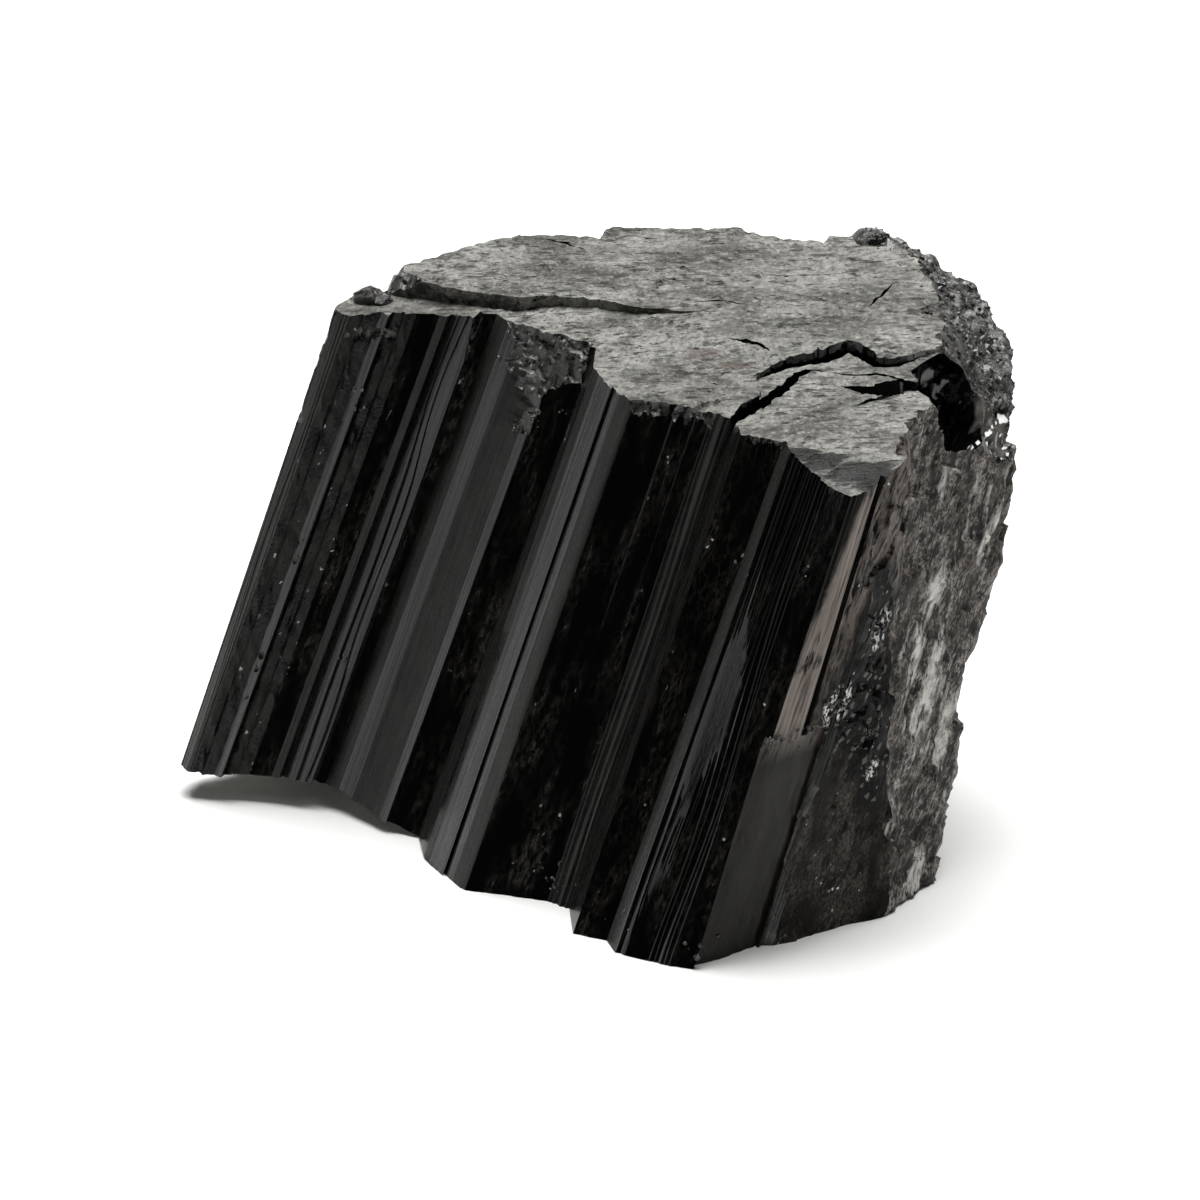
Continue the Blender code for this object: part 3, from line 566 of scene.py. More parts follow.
def foot_height(x, y):
    clear = smooth_step((FOOT_RISE_STARTS_X - x) / FOOT_RISE_LENGTH)
    edge = 0.35 * relief(x, y, 0.0, 9.0, 1.7) + 0.25 * flakes(x, y, 0.0, (2.5, 2.5, 1.0), 6.0)
    hollow = 0.9 * relief(x, y, 0.0, 16.0, 6.1) + 0.12 * flakes(x, y, 0.0, (3.0, 3.0, 1.0), 7.0)
    return max(0.0, clear * (FOOT_RISE + edge) + (1.0 - clear) * (hollow - 0.3))


def height_block(name, height, x_range, y_range, cell, thickness, surface):
    """A block whose near face follows height(x, y). It reaches thickness away from it."""
    columns = round((x_range[1] - x_range[0]) / cell)
    rows = round((y_range[1] - y_range[0]) / cell)
    bm = bmesh.new()
    bmesh.ops.create_grid(bm, x_segments=columns, y_segments=rows, size=0.5)
    for vert in bm.verts:
        x = x_range[0] + (vert.co.x + 0.5) * (x_range[1] - x_range[0])
        y = y_range[0] + (vert.co.y + 0.5) * (y_range[1] - y_range[0])
        vert.co = Vector((x, y, height(x, y)))
    far_z = (max if thickness > 0.0 else min)(vert.co.z for vert in bm.verts) + thickness
    close_behind(bm, lambda place: Vector((place.x, place.y, far_z)))
    return finish_mesh(name, bm, surface)


def close_behind(bm, moved):
    """Closes an open sheet with walls from its edge to a plain far face, whose places moved() gives."""
    edge = [item for item in bm.edges if item.is_boundary]
    extruded = bmesh.ops.extrude_edge_only(bm, edges=edge)
    far_edges = []
    for item in extruded["geom"]:
        if isinstance(item, bmesh.types.BMVert):
            item.co = moved(item.co)
        if isinstance(item, bmesh.types.BMEdge) and item.is_boundary:
            far_edges.append(item)
    bmesh.ops.edgeloop_fill(bm, edges=far_edges)


def outline_block(name, outline, seed):
    bm = bmesh.new()
    points = ragged(outline, 0.5, EDGE_RAGGED, seed, closed=True)
    face = bm.faces.new([bm.verts.new((point.x, point.y, LEDGE_PLAN_Z[0])) for point in points])
    extruded = bmesh.ops.extrude_face_region(bm, geom=[face])
    for item in extruded["geom"]:
        if isinstance(item, bmesh.types.BMVert):
            item.co.z = LEDGE_PLAN_Z[1]
    return finish_mesh(name, bm, END_BREAK)


def ledge_cutter(name, height, outline, seed, surface=END_BREAK):
    """Removes what stands above height(x, y), inside the outline only."""
    xs = [x for x, _ in outline]
    ys = [y for _, y in outline]
    x_range = (max(END_SPAN_X[0], min(xs)) - 2.0, min(END_SPAN_X[1], max(xs)) + 2.0)
    y_range = (max(END_SPAN_Y[0], min(ys)) - 2.0, min(END_SPAN_Y[1], max(ys)) + 2.0)
    block = height_block(name, height, x_range, y_range, END_CELL, LEDGE_DEPTH, surface)
    return cut(block, outline_block(name + "_plan", outline, seed), 'INTERSECT')


def cut_upper_end(crystal):
    """The ledges of the upper end, from the highest to the lowest."""
    crest = list(UPPER_CREST)
    middle = crest[::-1] + [(-30.0, -40.0), (40.0, -40.0)]
    lower = list(LOWER_CREST)[::-1] + [(2.0, -34.0), (44.0, -34.0), (44.0, -10.0)]
    sliver = list(SLIVER_EDGE)[::-1] + [(13.0, -6.0), (30.0, -6.0)]
    rim = list(RIM_LINE)[::-1] + [(22.6, -34.0), (46.0, -34.0), (46.0, 34.0)]
    cut(crystal, height_block(
        "upper_end", upper_end_height, (-26.0, 60.0), (-24.0, 36.0), END_CELL, 16.0, END_BREAK))
    cut(crystal, ledge_cutter("middle_ledge", middle_ledge_height, middle, 1.5))
    cut(crystal, ledge_cutter(
        "lower_ledge", lambda x, y: middle_ledge_height(x, y) - LOWER_LEDGE_DROP, lower, 3.5))
    cut(crystal, ledge_cutter(
        "sliver_ledge", lambda x, y: middle_ledge_height(x, y) - SLIVER_DROP, sliver, 4.5))
    cut(crystal, ledge_cutter("rim", rim_height, rim, 5.5, RUBBLE))


def side_point(edge_a, edge_b, share, z):
    height = z / HEAD_Z
    places = []
    for foot_x, foot_y, head_x, head_y, late in (edge_a, edge_b):
        swing = max(0.0, height) ** late
        places.append(Vector((foot_x + (head_x - foot_x) * swing, foot_y + (head_y - foot_y) * height, z)))
    return places[0].lerp(places[1], share)


def nearness(place, middle, radii):
    """1 at the middle of an egg-shaped region of crystal space, 0 at its edge and outside it."""
    x, y, z = place
    upright = Vector((x - AXIS_LEAN[0] * z, y - AXIS_LEAN[1] * z, z))
    away = Vector([c / r for c, r in zip(upright - Vector(middle), radii)])
    return max(0.0, 1.0 - away.length)


def side_relief(place, front_face):
    """How far the rough side stands out in x: lumps, then flat flakes drawn out along the c-axis."""
    x, y, z = place
    crushed = smooth_step(2.0 * nearness(place, CRUSHED_PLACE, CRUSHED_RADII))
    calm = 1.0
    if front_face:
        calm = 0.45 + 0.55 * smooth_step((z - 9.0) / 8.0)
    rise = SIDE_RELIEF * relief(x, y, z * 0.55, 5.0, 4.4)
    rise += SIDE_FINE_RELIEF * calm * relief(x + rise, y, z * 0.7, 2.0, 9.2)
    across = y - 0.30 * z
    rise += SIDE_FLAKES * calm * flakes(x, across, z, (2.4, 2.4, 5.5), 11.0)
    rise += SIDE_GRAIN * calm * flakes(x, across, z, (1.0, 0.9, 1.6), 12.0)
    rise += CRUSHED_GRAIN * crushed * flakes(x, across, z, (1.2, 1.1, 1.5), 13.0)
    return rise


def make_side_cutter():
    """The rough right side: an upright sheet of lumps and flakes, with a block behind it."""
    bm = bmesh.new()
    low, high = SIDE_SPAN_Z
    rows = round((high - low) / SIDE_CELL)
    columns = []
    for number, (edge_a, edge_b) in enumerate(zip(SIDE_EDGES, SIDE_EDGES[1:])):
        cell = SIDE_CELL if number < 5 else SIDE_BACK_CELL
        steps = max(2, round(math.dist(edge_a[:2], edge_b[:2]) / cell))
        if edge_b is SIDE_EDGES[-1]:
            steps = 12
        for step in range(steps):
            columns.append((edge_a, edge_b, step / steps, number < 2))
    columns.append((SIDE_EDGES[-2], SIDE_EDGES[-1], 1.0, False))
    grid = []
    for edge_a, edge_b, share, front_face in columns:
        line = []
        for row in range(rows + 1):
            place = side_point(edge_a, edge_b, share, low + row * (high - low) / rows)
            place.x += side_relief(place, front_face)
            line.append(bm.verts.new(place))
        grid.append(line)
    for near, far, (_, _, _, front_face) in zip(grid, grid[1:], columns):
        for row in range(rows):
            face = bm.faces.new((near[row], far[row], far[row + 1], near[row + 1]))
            face.material_index = SIDE_BREAK if front_face else SPLINTER_BREAK
    close_behind(bm, lambda place: Vector((80.0, place.y, place.z)))
    return finish_mesh("rough_side", bm)


def make_hollow_cutter(name, middle, radii, lean):
    """An egg-shaped hollow whose walls are shell-like ripples round its lower end."""
    bm = bmesh.new()
    bmesh.ops.create_icosphere(bm, subdivisions=5, radius=1.0)
    centre = Vector((0.2, -0.4, -0.9))
    for vert in bm.verts:
        away = (vert.co - centre).length
        ripple = 0.020 * math.sin(away * 21.0 + 2.0 * noise.noise(vert.co * 1.5))
        lump = 1.0 + 0.16 * noise.noise(vert.co * 1.9) + ripple
        lump += 0.05 * flakes(vert.co.x, vert.co.y, vert.co.z, (0.5, 0.5, 0.7), 3.0)
        vert.co = Vector([c * r * lump for c, r in zip(vert.co, radii)])
    bmesh.ops.rotate(bm, matrix=Euler((-lean, lean, 0.0)).to_matrix(), verts=bm.verts)
    bmesh.ops.translate(bm, vec=middle, verts=bm.verts)
    return finish_mesh(name, bm, SHELL_BREAK)


def make_crack_cutter(name, width, depth, line):
    """A wedge along the line: widest and deepest at its middle, with ragged lips."""
    bm = bmesh.new()
    sections = []
    points = ragged(line, 0.5, 0.16, len(name))
    for number, point in enumerate(points):
        share = number / (len(points) - 1)
        swell = 0.12 + 0.88 * math.sin(math.pi * share) ** 0.8
        before = points[max(0, number - 1)]
        after = points[min(len(points) - 1, number + 1)]
        along = (after - before).normalized()
        frayed = 1.0 + 0.5 * noise.noise(Vector((point.x * 1.7, point.y * 1.7, 3.0)))
        across = Vector((-along.y, along.x)) * width * swell * 0.5 * frayed
        top = middle_ledge_plain(point.x, point.y) + 3.0
        bottom = middle_ledge_plain(point.x, point.y) - depth * swell
        widen = 1.0 + 3.0 / (depth * swell)
        widen = min(widen, 2.5)
        sections.append((
            bm.verts.new((point.x - across.x * widen, point.y - across.y * widen, top)),
            bm.verts.new((point.x + across.x * widen, point.y + across.y * widen, top)),
            bm.verts.new((point.x, point.y, bottom)),
        ))
    for near, far in zip(sections, sections[1:]):
        for side in range(3):
            bm.faces.new((near[side], near[side - 1], far[side - 1], far[side]))
    bm.faces.new(sections[0])
    bm.faces.new(sections[-1][::-1])
    return finish_mesh(name, bm, SHELL_BREAK)


def make_chip_cutter(name, middle, facing, width, height, rough, surface):
    """A slab whose near face is the chipped face."""
    bm = bmesh.new()
    columns = round(width / CHIP_CELL)
    rows = round(height / CHIP_CELL)
    bmesh.ops.create_grid(bm, x_segments=columns, y_segments=rows, size=0.5)
    for vert in bm.verts:
        x = vert.co.x * width
        y = vert.co.y * height
        rise = rough * relief(x, y, 0.0, 3.0, 0.1 * len(name))
        rise += 0.8 * rough * flakes(x, y, 0.0, (1.1, 1.1, 1.0), 8.0 + rough)
        vert.co = Vector((x, y, rise))
    close_behind(bm, lambda place: Vector((place.x, place.y, CHIP_DEPTH)))
    bmesh.ops.rotate(bm, matrix=Vector(facing).to_track_quat('Z', 'Y').to_matrix(), verts=bm.verts)
    bmesh.ops.translate(bm, vec=middle, verts=bm.verts)
    return finish_mesh(name, bm, surface)


def make_band_cutter():
    """Breaks the front corner and the light band back below a ragged ledge."""
    bm = bmesh.new()
    points = ragged(BAND_BREAK, 0.4, 0.12, 4.0, closed=True)
    rows = round((BAND_BREAK_Z + 2.0) / BAND_ROW)
    rings = []
    for row in range(rows + 1):
        ring = []
        for point in points:
            height = -2.0 + (BAND_BREAK_Z + 2.0) * row / rows
            x, y = point.x + BAND_LEAN[0] * height, point.y + BAND_LEAN[1] * height
            y -= 0.12 * flakes(x, y, height, (0.9, 0.9, 3.0), 16.0)
            if row == rows:
                height += 0.9 * noise.noise(Vector((x, y, 2.0)) * 1.1)
            ring.append(bm.verts.new((x, y, height)))
        rings.append(ring)
    for near, far in zip(rings, rings[1:]):
        for number in range(len(points)):
            bm.faces.new((near[number - 1], near[number], far[number], far[number - 1]))
    bm.faces.new(rings[0][::-1])
    bm.faces.new(rings[-1])
    return finish_mesh("band_break", bm, FILMED_FACE)


def pit_mesh(bm, place, size, rng):
    """Adds a small angular hollow, drawn out along the c-axis."""
    made = bmesh.ops.create_icosphere(bm, subdivisions=1, radius=size)["verts"]
    stretch = Vector((rng.uniform(0.6, 1.3), rng.uniform(0.5, 0.9), rng.uniform(1.0, 2.0)))
    turn = Euler((rng.uniform(-0.6, 0.6), rng.uniform(-0.3, 0.6), rng.uniform(0.0, 3.0))).to_matrix()
    for vert in made:
        vert.co = turn @ (vert.co * rng.uniform(0.6, 1.3))
        vert.co = Vector([c * s for c, s in zip(vert.co, stretch)]) + place


def cut_pits(crystal):
    rng = random.Random(41)
    pits = None
    for start, end, count, stray, sizes in PIT_ROWS:
        for number in range(count):
            place = Vector(start).lerp(Vector(end), (number + rng.uniform(0.1, 0.9)) / count)
            place.x += rng.uniform(-stray, stray)
            bm = bmesh.new()
            pit_mesh(bm, place, rng.uniform(*sizes), rng)
            pit = finish_mesh("pit_%d" % number, bm, RUBBLE)
            pits = cut(pits, pit, 'UNION') if pits else pit
    cut(crystal, pits)


def cut_ticks(crystal):
    """Short wedge-shaped ticks of the flat break, each within a room of its own."""
    rng = random.Random(23)
    bm = bmesh.new()
    columns = round((END_SPAN_X[1] - END_SPAN_X[0]) / TICK_ROOM[0])
    rows = round((END_SPAN_Y[1] - END_SPAN_Y[0]) / TICK_ROOM[1])
    for cell in range(columns * rows):
        x = END_SPAN_X[0] + TICK_ROOM[0] * (cell % columns + rng.uniform(0.35, 0.65))
        y = END_SPAN_Y[0] + TICK_ROOM[1] * (cell // columns + rng.uniform(0.25, 0.75))
        length = rng.uniform(*TICK_LENGTH) * rng.uniform(0.5, 1.0)
        width = rng.uniform(*TICK_WIDTH)
        turn = rng.gauss(0.05, 0.22)
        on_upper = y > line_y(UPPER_CREST, x)
        height = (upper_end_height if on_upper else middle_ledge_height)(x, y)
        near_crest = abs(y - line_y(UPPER_CREST, x)) < 0.9
        if rng.random() < 0.25 or near_crest or (not on_upper and x < -9.0):
            continue
        along = Vector((math.cos(turn), math.sin(turn), 0.0)) * 0.5 * length
        across = Vector((-along.y, along.x, 0.0)).normalized() * 1.3 * width
        middle = Vector((x, y, height))
        bottom = bm.verts.new(middle - Vector((0.0, 0.0, 1.1 * width)))
        lift = Vector((0.0, 0.0, 0.5))
        corners = (along * 1.4, across, -along * 1.4, -across)
        ring = [bm.verts.new(middle + off + lift) for off in corners]
        bm.faces.new(ring)
        for a, b in zip(ring, ring[1:] + ring[:1]):
            bm.faces.new((b, a, bottom))
    cut(crystal, finish_mesh("ticks", bm, RUBBLE))


def add_crumbs(crystal):
    """Blocky grains fused to the left corner and to the back of the rim."""
    for number, (x, y, z, size) in enumerate(CRUMBS):
        rng = random.Random(100 + number)
        bm = bmesh.new()
        bmesh.ops.create_icosphere(bm, subdivisions=2, radius=1.0)
        for vert in bm.verts:
            blocky = max(abs(c) for c in vert.co) ** 0.7
            lump = noise.noise(vert.co * 1.3 + Vector((number, 0.0, 0.0)))
            vert.co *= size * (1.0 + 0.30 * lump) / blocky
        turn = Euler((rng.uniform(-0.25, 0.25), rng.uniform(-0.25, 0.25), rng.uniform(0.0, 1.5)))
        bmesh.ops.rotate(bm, matrix=turn.to_matrix(), verts=bm.verts)
        bmesh.ops.translate(bm, vec=(x, y, z - 0.3 * size), verts=bm.verts)
        cut(crystal, finish_mesh("crumb_%d" % number, bm, RUBBLE), 'UNION')


def make_crystal():
    crystal = make_prism()
    cut(crystal, make_side_cutter())
    cut_upper_end(crystal)
    add_crumbs(crystal)
    cut(crystal, make_hollow_cutter("pocket", POCKET_PLACE, POCKET_RADII, POCKET_LEAN))
    cut(crystal, make_hollow_cutter("scoop", SCOOP_PLACE, SCOOP_RADII, POCKET_LEAN))
    for crack in CRACKS:
        cut(crystal, make_crack_cutter(*crack))
    for chip in CHIPS:
        cut(crystal, make_chip_cutter(*chip))
    cut(crystal, make_band_cutter())
    cut_pits(crystal)
    cut_ticks(crystal)
    foot = height_block("foot", foot_height, (-40.0, 34.0), (-32.0, 24.0), FOOT_CELL, -6.0, END_BREAK)
    cut(crystal, foot)
    return crystal


def grain_seats(crystal):
    """Where grains sit on the crystal: around each place, and all over the rubble of the rim."""
    rng = random.Random(11)
    mesh = crystal.data
    surface = BVHTree.FromPolygons(
        [vert.co for vert in mesh.vertices], [face.vertices for face in mesh.polygons])
    seats = []
    for middle, reach, crowd in GRAIN_PLACES:
        for _ in range(round(crowd * GRAINS_PER_MM2 * reach ** 2)):
            stray = Vector([rng.gauss(0.0, GRAIN_STRAY * reach) for _ in range(3)])
            seats.append(surface.find_nearest((Vector(middle) + stray) * MM)[0])
    (x_low, x_high), (y_low, y_high) = RIM_GRAIN_SPAN
    for _ in range(round(RIM_GRAINS_PER_MM2 * (x_high - x_low) * (y_high - y_low))):
        above = Vector((rng.uniform(x_low, x_high), rng.uniform(y_low, y_high), STOCK_SPAN_Z[1])) * MM
        seat, _, face, _ = surface.ray_cast(above, Vector((0.0, 0.0, -1.0)))
        if seat and mesh.polygons[face].material_index == RUBBLE and seat.z > RIM_GRAINS_START_Z * MM:
            seats.append(seat)
    return [seat for seat in seats if seat.z > GRAINS_START_Z * MM]


def grain_tree(material):
    """Puts a small faceted grain at each point, most of them near the smallest size."""
    tree = bpy.data.node_groups.new("fused_grains", 'GeometryNodeTree')
    tree.interface.new_socket("Geometry", in_out='INPUT', socket_type='NodeSocketGeometry')
    tree.interface.new_socket("Smallest", in_out='INPUT', socket_type='NodeSocketFloat')
    tree.interface.new_socket("Largest", in_out='INPUT', socket_type='NodeSocketFloat')
    tree.interface.new_socket("Seed", in_out='INPUT', socket_type='NodeSocketInt')
    tree.interface.new_socket("Geometry", in_out='OUTPUT', socket_type='NodeSocketGeometry')
    given = add(tree, "NodeGroupInput").outputs
    grain = add(tree, "GeometryNodeMeshIcoSphere", {"Radius": 1.0, "Subdivisions": 1}).outputs["Mesh"]
    shape = add(tree, "FunctionNodeRandomValue", {
        "Min": (0.6, 0.6, 0.6), "Max": (1.4, 1.4, 1.4), "Seed": 3,
    }, data_type='FLOAT_VECTOR').outputs["Value"]
    turn = add(tree, "FunctionNodeRandomValue", {
        "Min": (0.0, 0.0, 0.0), "Max": (6.28, 6.28, 6.28), "Seed": 5,
    }, data_type='FLOAT_VECTOR').outputs["Value"]
    chance = add(tree, "FunctionNodeRandomValue", {"Seed": given["Seed"]}, data_type='FLOAT')
    few_large = number_math(tree, 'POWER', chance.outputs[1], 2.5)
    radius = add(tree, "ShaderNodeMapRange", {
        "Value": few_large, "To Min": given["Smallest"], "To Max": given["Largest"],
    }).outputs["Result"]
    size = scaled(tree, shape, radius)
    grains = add(tree, "GeometryNodeInstanceOnPoints", {
        "Points": given["Geometry"], "Instance": grain, "Rotation": turn, "Scale": size,
    }).outputs["Instances"]
    real = add(tree, "GeometryNodeRealizeInstances", {"Geometry": grains}).outputs["Geometry"]
    dressed = add(tree, "GeometryNodeSetMaterial", {"Geometry": real, "Material": material})
    add(tree, "NodeGroupOutput", {"Geometry": dressed.outputs["Geometry"]})
    return tree


def scatter_grains(crystal, material):
    mesh = bpy.data.meshes.new("grain_seats")
    mesh.from_pydata(grain_seats(crystal), [], [])
    seats = bpy.data.objects.new("grain_seats", mesh)
    bpy.context.scene.collection.objects.link(seats)
    tree = grain_tree(material)
    scatter = seats.modifiers.new("fused_grains", 'NODES')
    scatter.node_group = tree
    values = {"Smallest": GRAIN_RADIUS[0] * MM, "Largest": GRAIN_RADIUS[1] * MM, "Seed": 7}
    for socket in tree.interface.items_tree:
        if socket.in_out == 'INPUT' and socket.name in values:
            scatter[socket.identifier] = values[socket.name]
    graph = bpy.context.evaluated_depsgraph_get()
    grains = bpy.data.meshes.new_from_object(seats.evaluated_get(graph))
    bpy.data.objects.remove(seats)
    bm = bmesh.new()
    bm.from_mesh(grains)
    for face in bm.faces:
        face.material_index = RUBBLE
    bm.from_mesh(crystal.data)
    bm.to_mesh(crystal.data)
    bm.free()
    bpy.data.meshes.remove(grains)


# ---------------------------------------------------------------------------
# Materials
# ---------------------------------------------------------------------------

def linear(colour):
    """An sRGB hex colour as linear red, green, blue and alpha."""
    channels = [int(colour[start:start + 2], 16) / 255.0 for start in (1, 3, 5)]
    return tuple(c / 12.92 if c <= 0.04045 else ((c + 0.055) / 1.055) ** 2.4 for c in channels) + (1.0,)


def add(tree, kind, inputs=None, **settings):
    """Adds a node. An input is a value or another node's output."""
    made = tree.nodes.new(kind)
    for name, value in settings.items():
        setattr(made, name, value)
    for name, value in (inputs or {}).items():
        if isinstance(value, bpy.types.NodeSocket):
            tree.links.new(value, made.inputs[name])
        else:
            made.inputs[name].default_value = value
    return made


def number_math(tree, operation, *inputs):
    """A maths node on numbers, named by its operation."""
    return add(tree, "ShaderNodeMath", dict(enumerate(inputs)), operation=operation).outputs[0]


def vector_math(tree, operation, *inputs):
    """A maths node on vectors, named by its operation."""
    return add(tree, "ShaderNodeVectorMath", dict(enumerate(inputs)), operation=operation).outputs[0]


def scaled(tree, vector, scale):
    return add(tree, "ShaderNodeVectorMath", {0: vector, "Scale": scale}, operation='SCALE').outputs[0]


def new_material(name):
    material = bpy.data.materials.new(name)
    material.use_nodes = True
    shader = material.node_tree.nodes["Principled BSDF"]
    return material, material.node_tree, shader


def crystal_space(tree):
    """Millimetres, with the c-axis upright, so that a pattern can be drawn out along it."""
    place = add(tree, "ShaderNodeTexCoord").outputs["Object"]
    millimetres = scaled(tree, place, 1.0 / MM)
    height = add(tree, "ShaderNodeSeparateXYZ", {0: millimetres}).outputs["Z"]
    lean = add(tree, "ShaderNodeCombineXYZ", {"X": AXIS_LEAN[0], "Y": AXIS_LEAN[1], "Z": 0.0}).outputs[0]
    return vector_math(tree, 'SUBTRACT', millimetres, scaled(tree, lean, height))


def squeezed(tree, space, size):
    """The space in units of the given size, so that one unit across is one lump of a pattern."""
    return vector_math(tree, 'MULTIPLY', space, tuple(1.0 / s for s in size))


def drawn_noise(tree, space, size, detail=2.0, roughness=0.5):
    """Noise from 0 to 1 whose lumps have the given size in millimetres."""
    return add(tree, "ShaderNodeTexNoise", {
        "Vector": squeezed(tree, space, size), "Scale": 1.0, "Detail": detail, "Roughness": roughness,
    }).outputs["Fac"]


def grain_cells(tree, space, size):
    """A random value from 0 to 1 for each grain of the given size in millimetres."""
    cells = add(tree, "ShaderNodeTexVoronoi", {"Vector": squeezed(tree, space, size), "Scale": 1.0})
    return add(tree, "ShaderNodeSeparateColor", {"Color": cells.outputs["Color"]}).outputs["Red"]


def vein_net(tree, space, size):
    """1 on a net of thin lines whose meshes have the given size in millimetres, 0 between them."""
    cells = squeezed(tree, space, size)
    warp = add(tree, "ShaderNodeTexNoise", {"Vector": cells, "Scale": 2.0, "Detail": 2.0})
    place = vector_math(tree, 'MULTIPLY_ADD', warp.outputs["Color"], (0.9, 0.9, 0.9), cells)
    edges = add(tree, "ShaderNodeTexVoronoi", {"Vector": place, "Scale": 1.0}, feature='DISTANCE_TO_EDGE')
    return spread(tree, edges.outputs["Distance"], 0.0, 0.07, 1.0, 0.0)


def spread(tree, value, low, high, to_low=0.0, to_high=1.0):
    return add(tree, "ShaderNodeMapRange", {
        "Value": value, "From Min": low, "From Max": high, "To Min": to_low, "To Max": to_high,
    }).outputs["Result"]


def times(tree, first, second):
    return number_math(tree, 'MULTIPLY', first, second)


def largest(tree, first, second):
    return number_math(tree, 'MAXIMUM', first, second)


def patch(tree, space, middle, radii, wobble, soft=0.25):
    """1 in an egg-shaped patch of crystal space and 0 outside it, with an edge that wobbles."""
    centred = squeezed(tree, vector_math(tree, 'ADD', space, tuple(-c for c in middle)), radii)
    away = add(tree, "ShaderNodeVectorMath", {0: centred}, operation='LENGTH').outputs["Value"]
    frayed = number_math(tree, 'MULTIPLY_ADD', wobble, 1.1, away)
    return spread(tree, frayed, 1.55 - soft, 1.55, 1.0, 0.0)


def patches(tree, space, places, wobble, soft=0.25):
    whole = 0.0
    for middle, radii in places:
        whole = largest(tree, whole, patch(tree, space, middle, radii, wobble, soft))
    return whole


def blend(tree, share, under, over):
    """The colour over laid on the colour under. A colour is a hex string or a node's output."""
    colours = [linear(c) if isinstance(c, str) else c for c in (under, over)]
    made = add(tree, "ShaderNodeMix", {"Factor": share}, data_type='RGBA')
    for socket, colour in zip((made.inputs[6], made.inputs[7]), colours):
        if isinstance(colour, bpy.types.NodeSocket):
            tree.links.new(colour, socket)
        else:
            socket.default_value = colour
    return made.outputs[2]


def bump(tree, shader, *layers):
    """Lays bumps over each other, each from a height, a strength and a depth in millimetres."""
    normal = None
    for height, strength, depth in layers:
        made = add(tree, "ShaderNodeBump", {"Height": height, "Strength": strength, "Distance": depth * MM})
        if normal:
            tree.links.new(normal, made.inputs["Normal"])
        normal = made.outputs[0]
    tree.links.new(normal, shader.inputs["Normal"])


def dress(tree, shader, colour, roughness, specular=0.5):
    tree.links.new(colour, shader.inputs["Base Color"])
    tree.links.new(roughness, shader.inputs["Roughness"])
    shader.inputs["IOR"].default_value = 1.64
    shader.inputs["Specular IOR Level"].default_value = specular


def satin_face_material():
    """A prism face with a satin bloom, which dulls what it reflects."""
    material, tree, shader = new_material("schorl_satin_face")
    space = crystal_space(tree)
    fine = drawn_noise(tree, space, (0.3, 0.3, 20.0), 3.0, 0.6)
    wide = drawn_noise(tree, space, (1.0, 1.0, 2.6), 4.0, 0.65)
    grain = drawn_noise(tree, space, (0.2, 0.2, 0.3), 3.0, 0.6)
    colour = blend(tree, spread(tree, wide, 0.40, 0.65), "#0c0c0b", "#1e1d1a")
    dress(tree, shader, colour, spread(tree, fine, 0.38, 0.64, 0.16, 0.40), 0.2)
    bump(tree, shader, (wide, 0.4, 0.05), (fine, 0.45, 0.03), (grain, 0.7, 0.03))
    return material


def prism_face_material():
    """Vitreous schorl: glossy black, with striations too fine to model."""
    material, tree, shader = new_material("schorl_prism_face")
    space = crystal_space(tree)
    fine = drawn_noise(tree, space, (0.16, 0.16, 26.0), 3.0, 0.6)
    wide = drawn_noise(tree, space, (0.6, 0.6, 10.0), 3.0, 0.6)
    grain = drawn_noise(tree, space, (0.3, 0.3, 0.6), 3.0, 0.65)
    colour = blend(tree, spread(tree, wide, 0.45, 0.7), "#090908", "#1b1a18")
    dress(tree, shader, colour, spread(tree, fine, 0.38, 0.64, 0.12, 0.42))
    bump(tree, shader, (wide, 0.3, 0.03), (fine, 0.6, 0.03), (grain, 0.6, 0.025))
    return material


def veiled_face_material():
    """The same face where thin grey veils and healed cracks show on the black, with tiny painted glints."""
    material, tree, shader = new_material("schorl_veiled_face")
    space = crystal_space(tree)
    fine = drawn_noise(tree, space, (0.2, 0.2, 18.0), 3.0, 0.6)
    veil_place = drawn_noise(tree, space, (1.8, 1.8, 8.0), 4.0, 0.6)
    mottle = drawn_noise(tree, space, (0.35, 0.35, 0.8), 4.0, 0.7)
    net = vein_net(tree, space, (0.6, 0.6, 1.3))
    glint_cells = grain_cells(tree, space, (0.2, 0.2, 0.22))
    veil = times(tree, spread(tree, veil_place, 0.46, 0.64), spread(tree, mottle, 0.42, 0.62))
    net_place = spread(tree, drawn_noise(tree, space, (3.0, 3.0, 6.0), 2.0, 0.5), 0.54, 0.64)
    colour = blend(tree, veil, "#040404", "#24221e")
    colour = blend(tree, times(tree, net, times(tree, net_place, mottle)), colour, "#282623")
    # Painted glints: a few tiny cells painted near white where the veils are.
    bright = times(tree, spread(tree, glint_cells, 0.992, 0.996), spread(tree, veil_place, 0.56, 0.62))
    colour = blend(tree, bright, colour, "#b0afab")
    dress(tree, shader, colour, spread(tree, veil, 0.0, 1.0, 0.10, 0.36), 0.32)
    bump(tree, shader, (fine, 0.3, 0.03), (mottle, 0.45, 0.04))
    return material


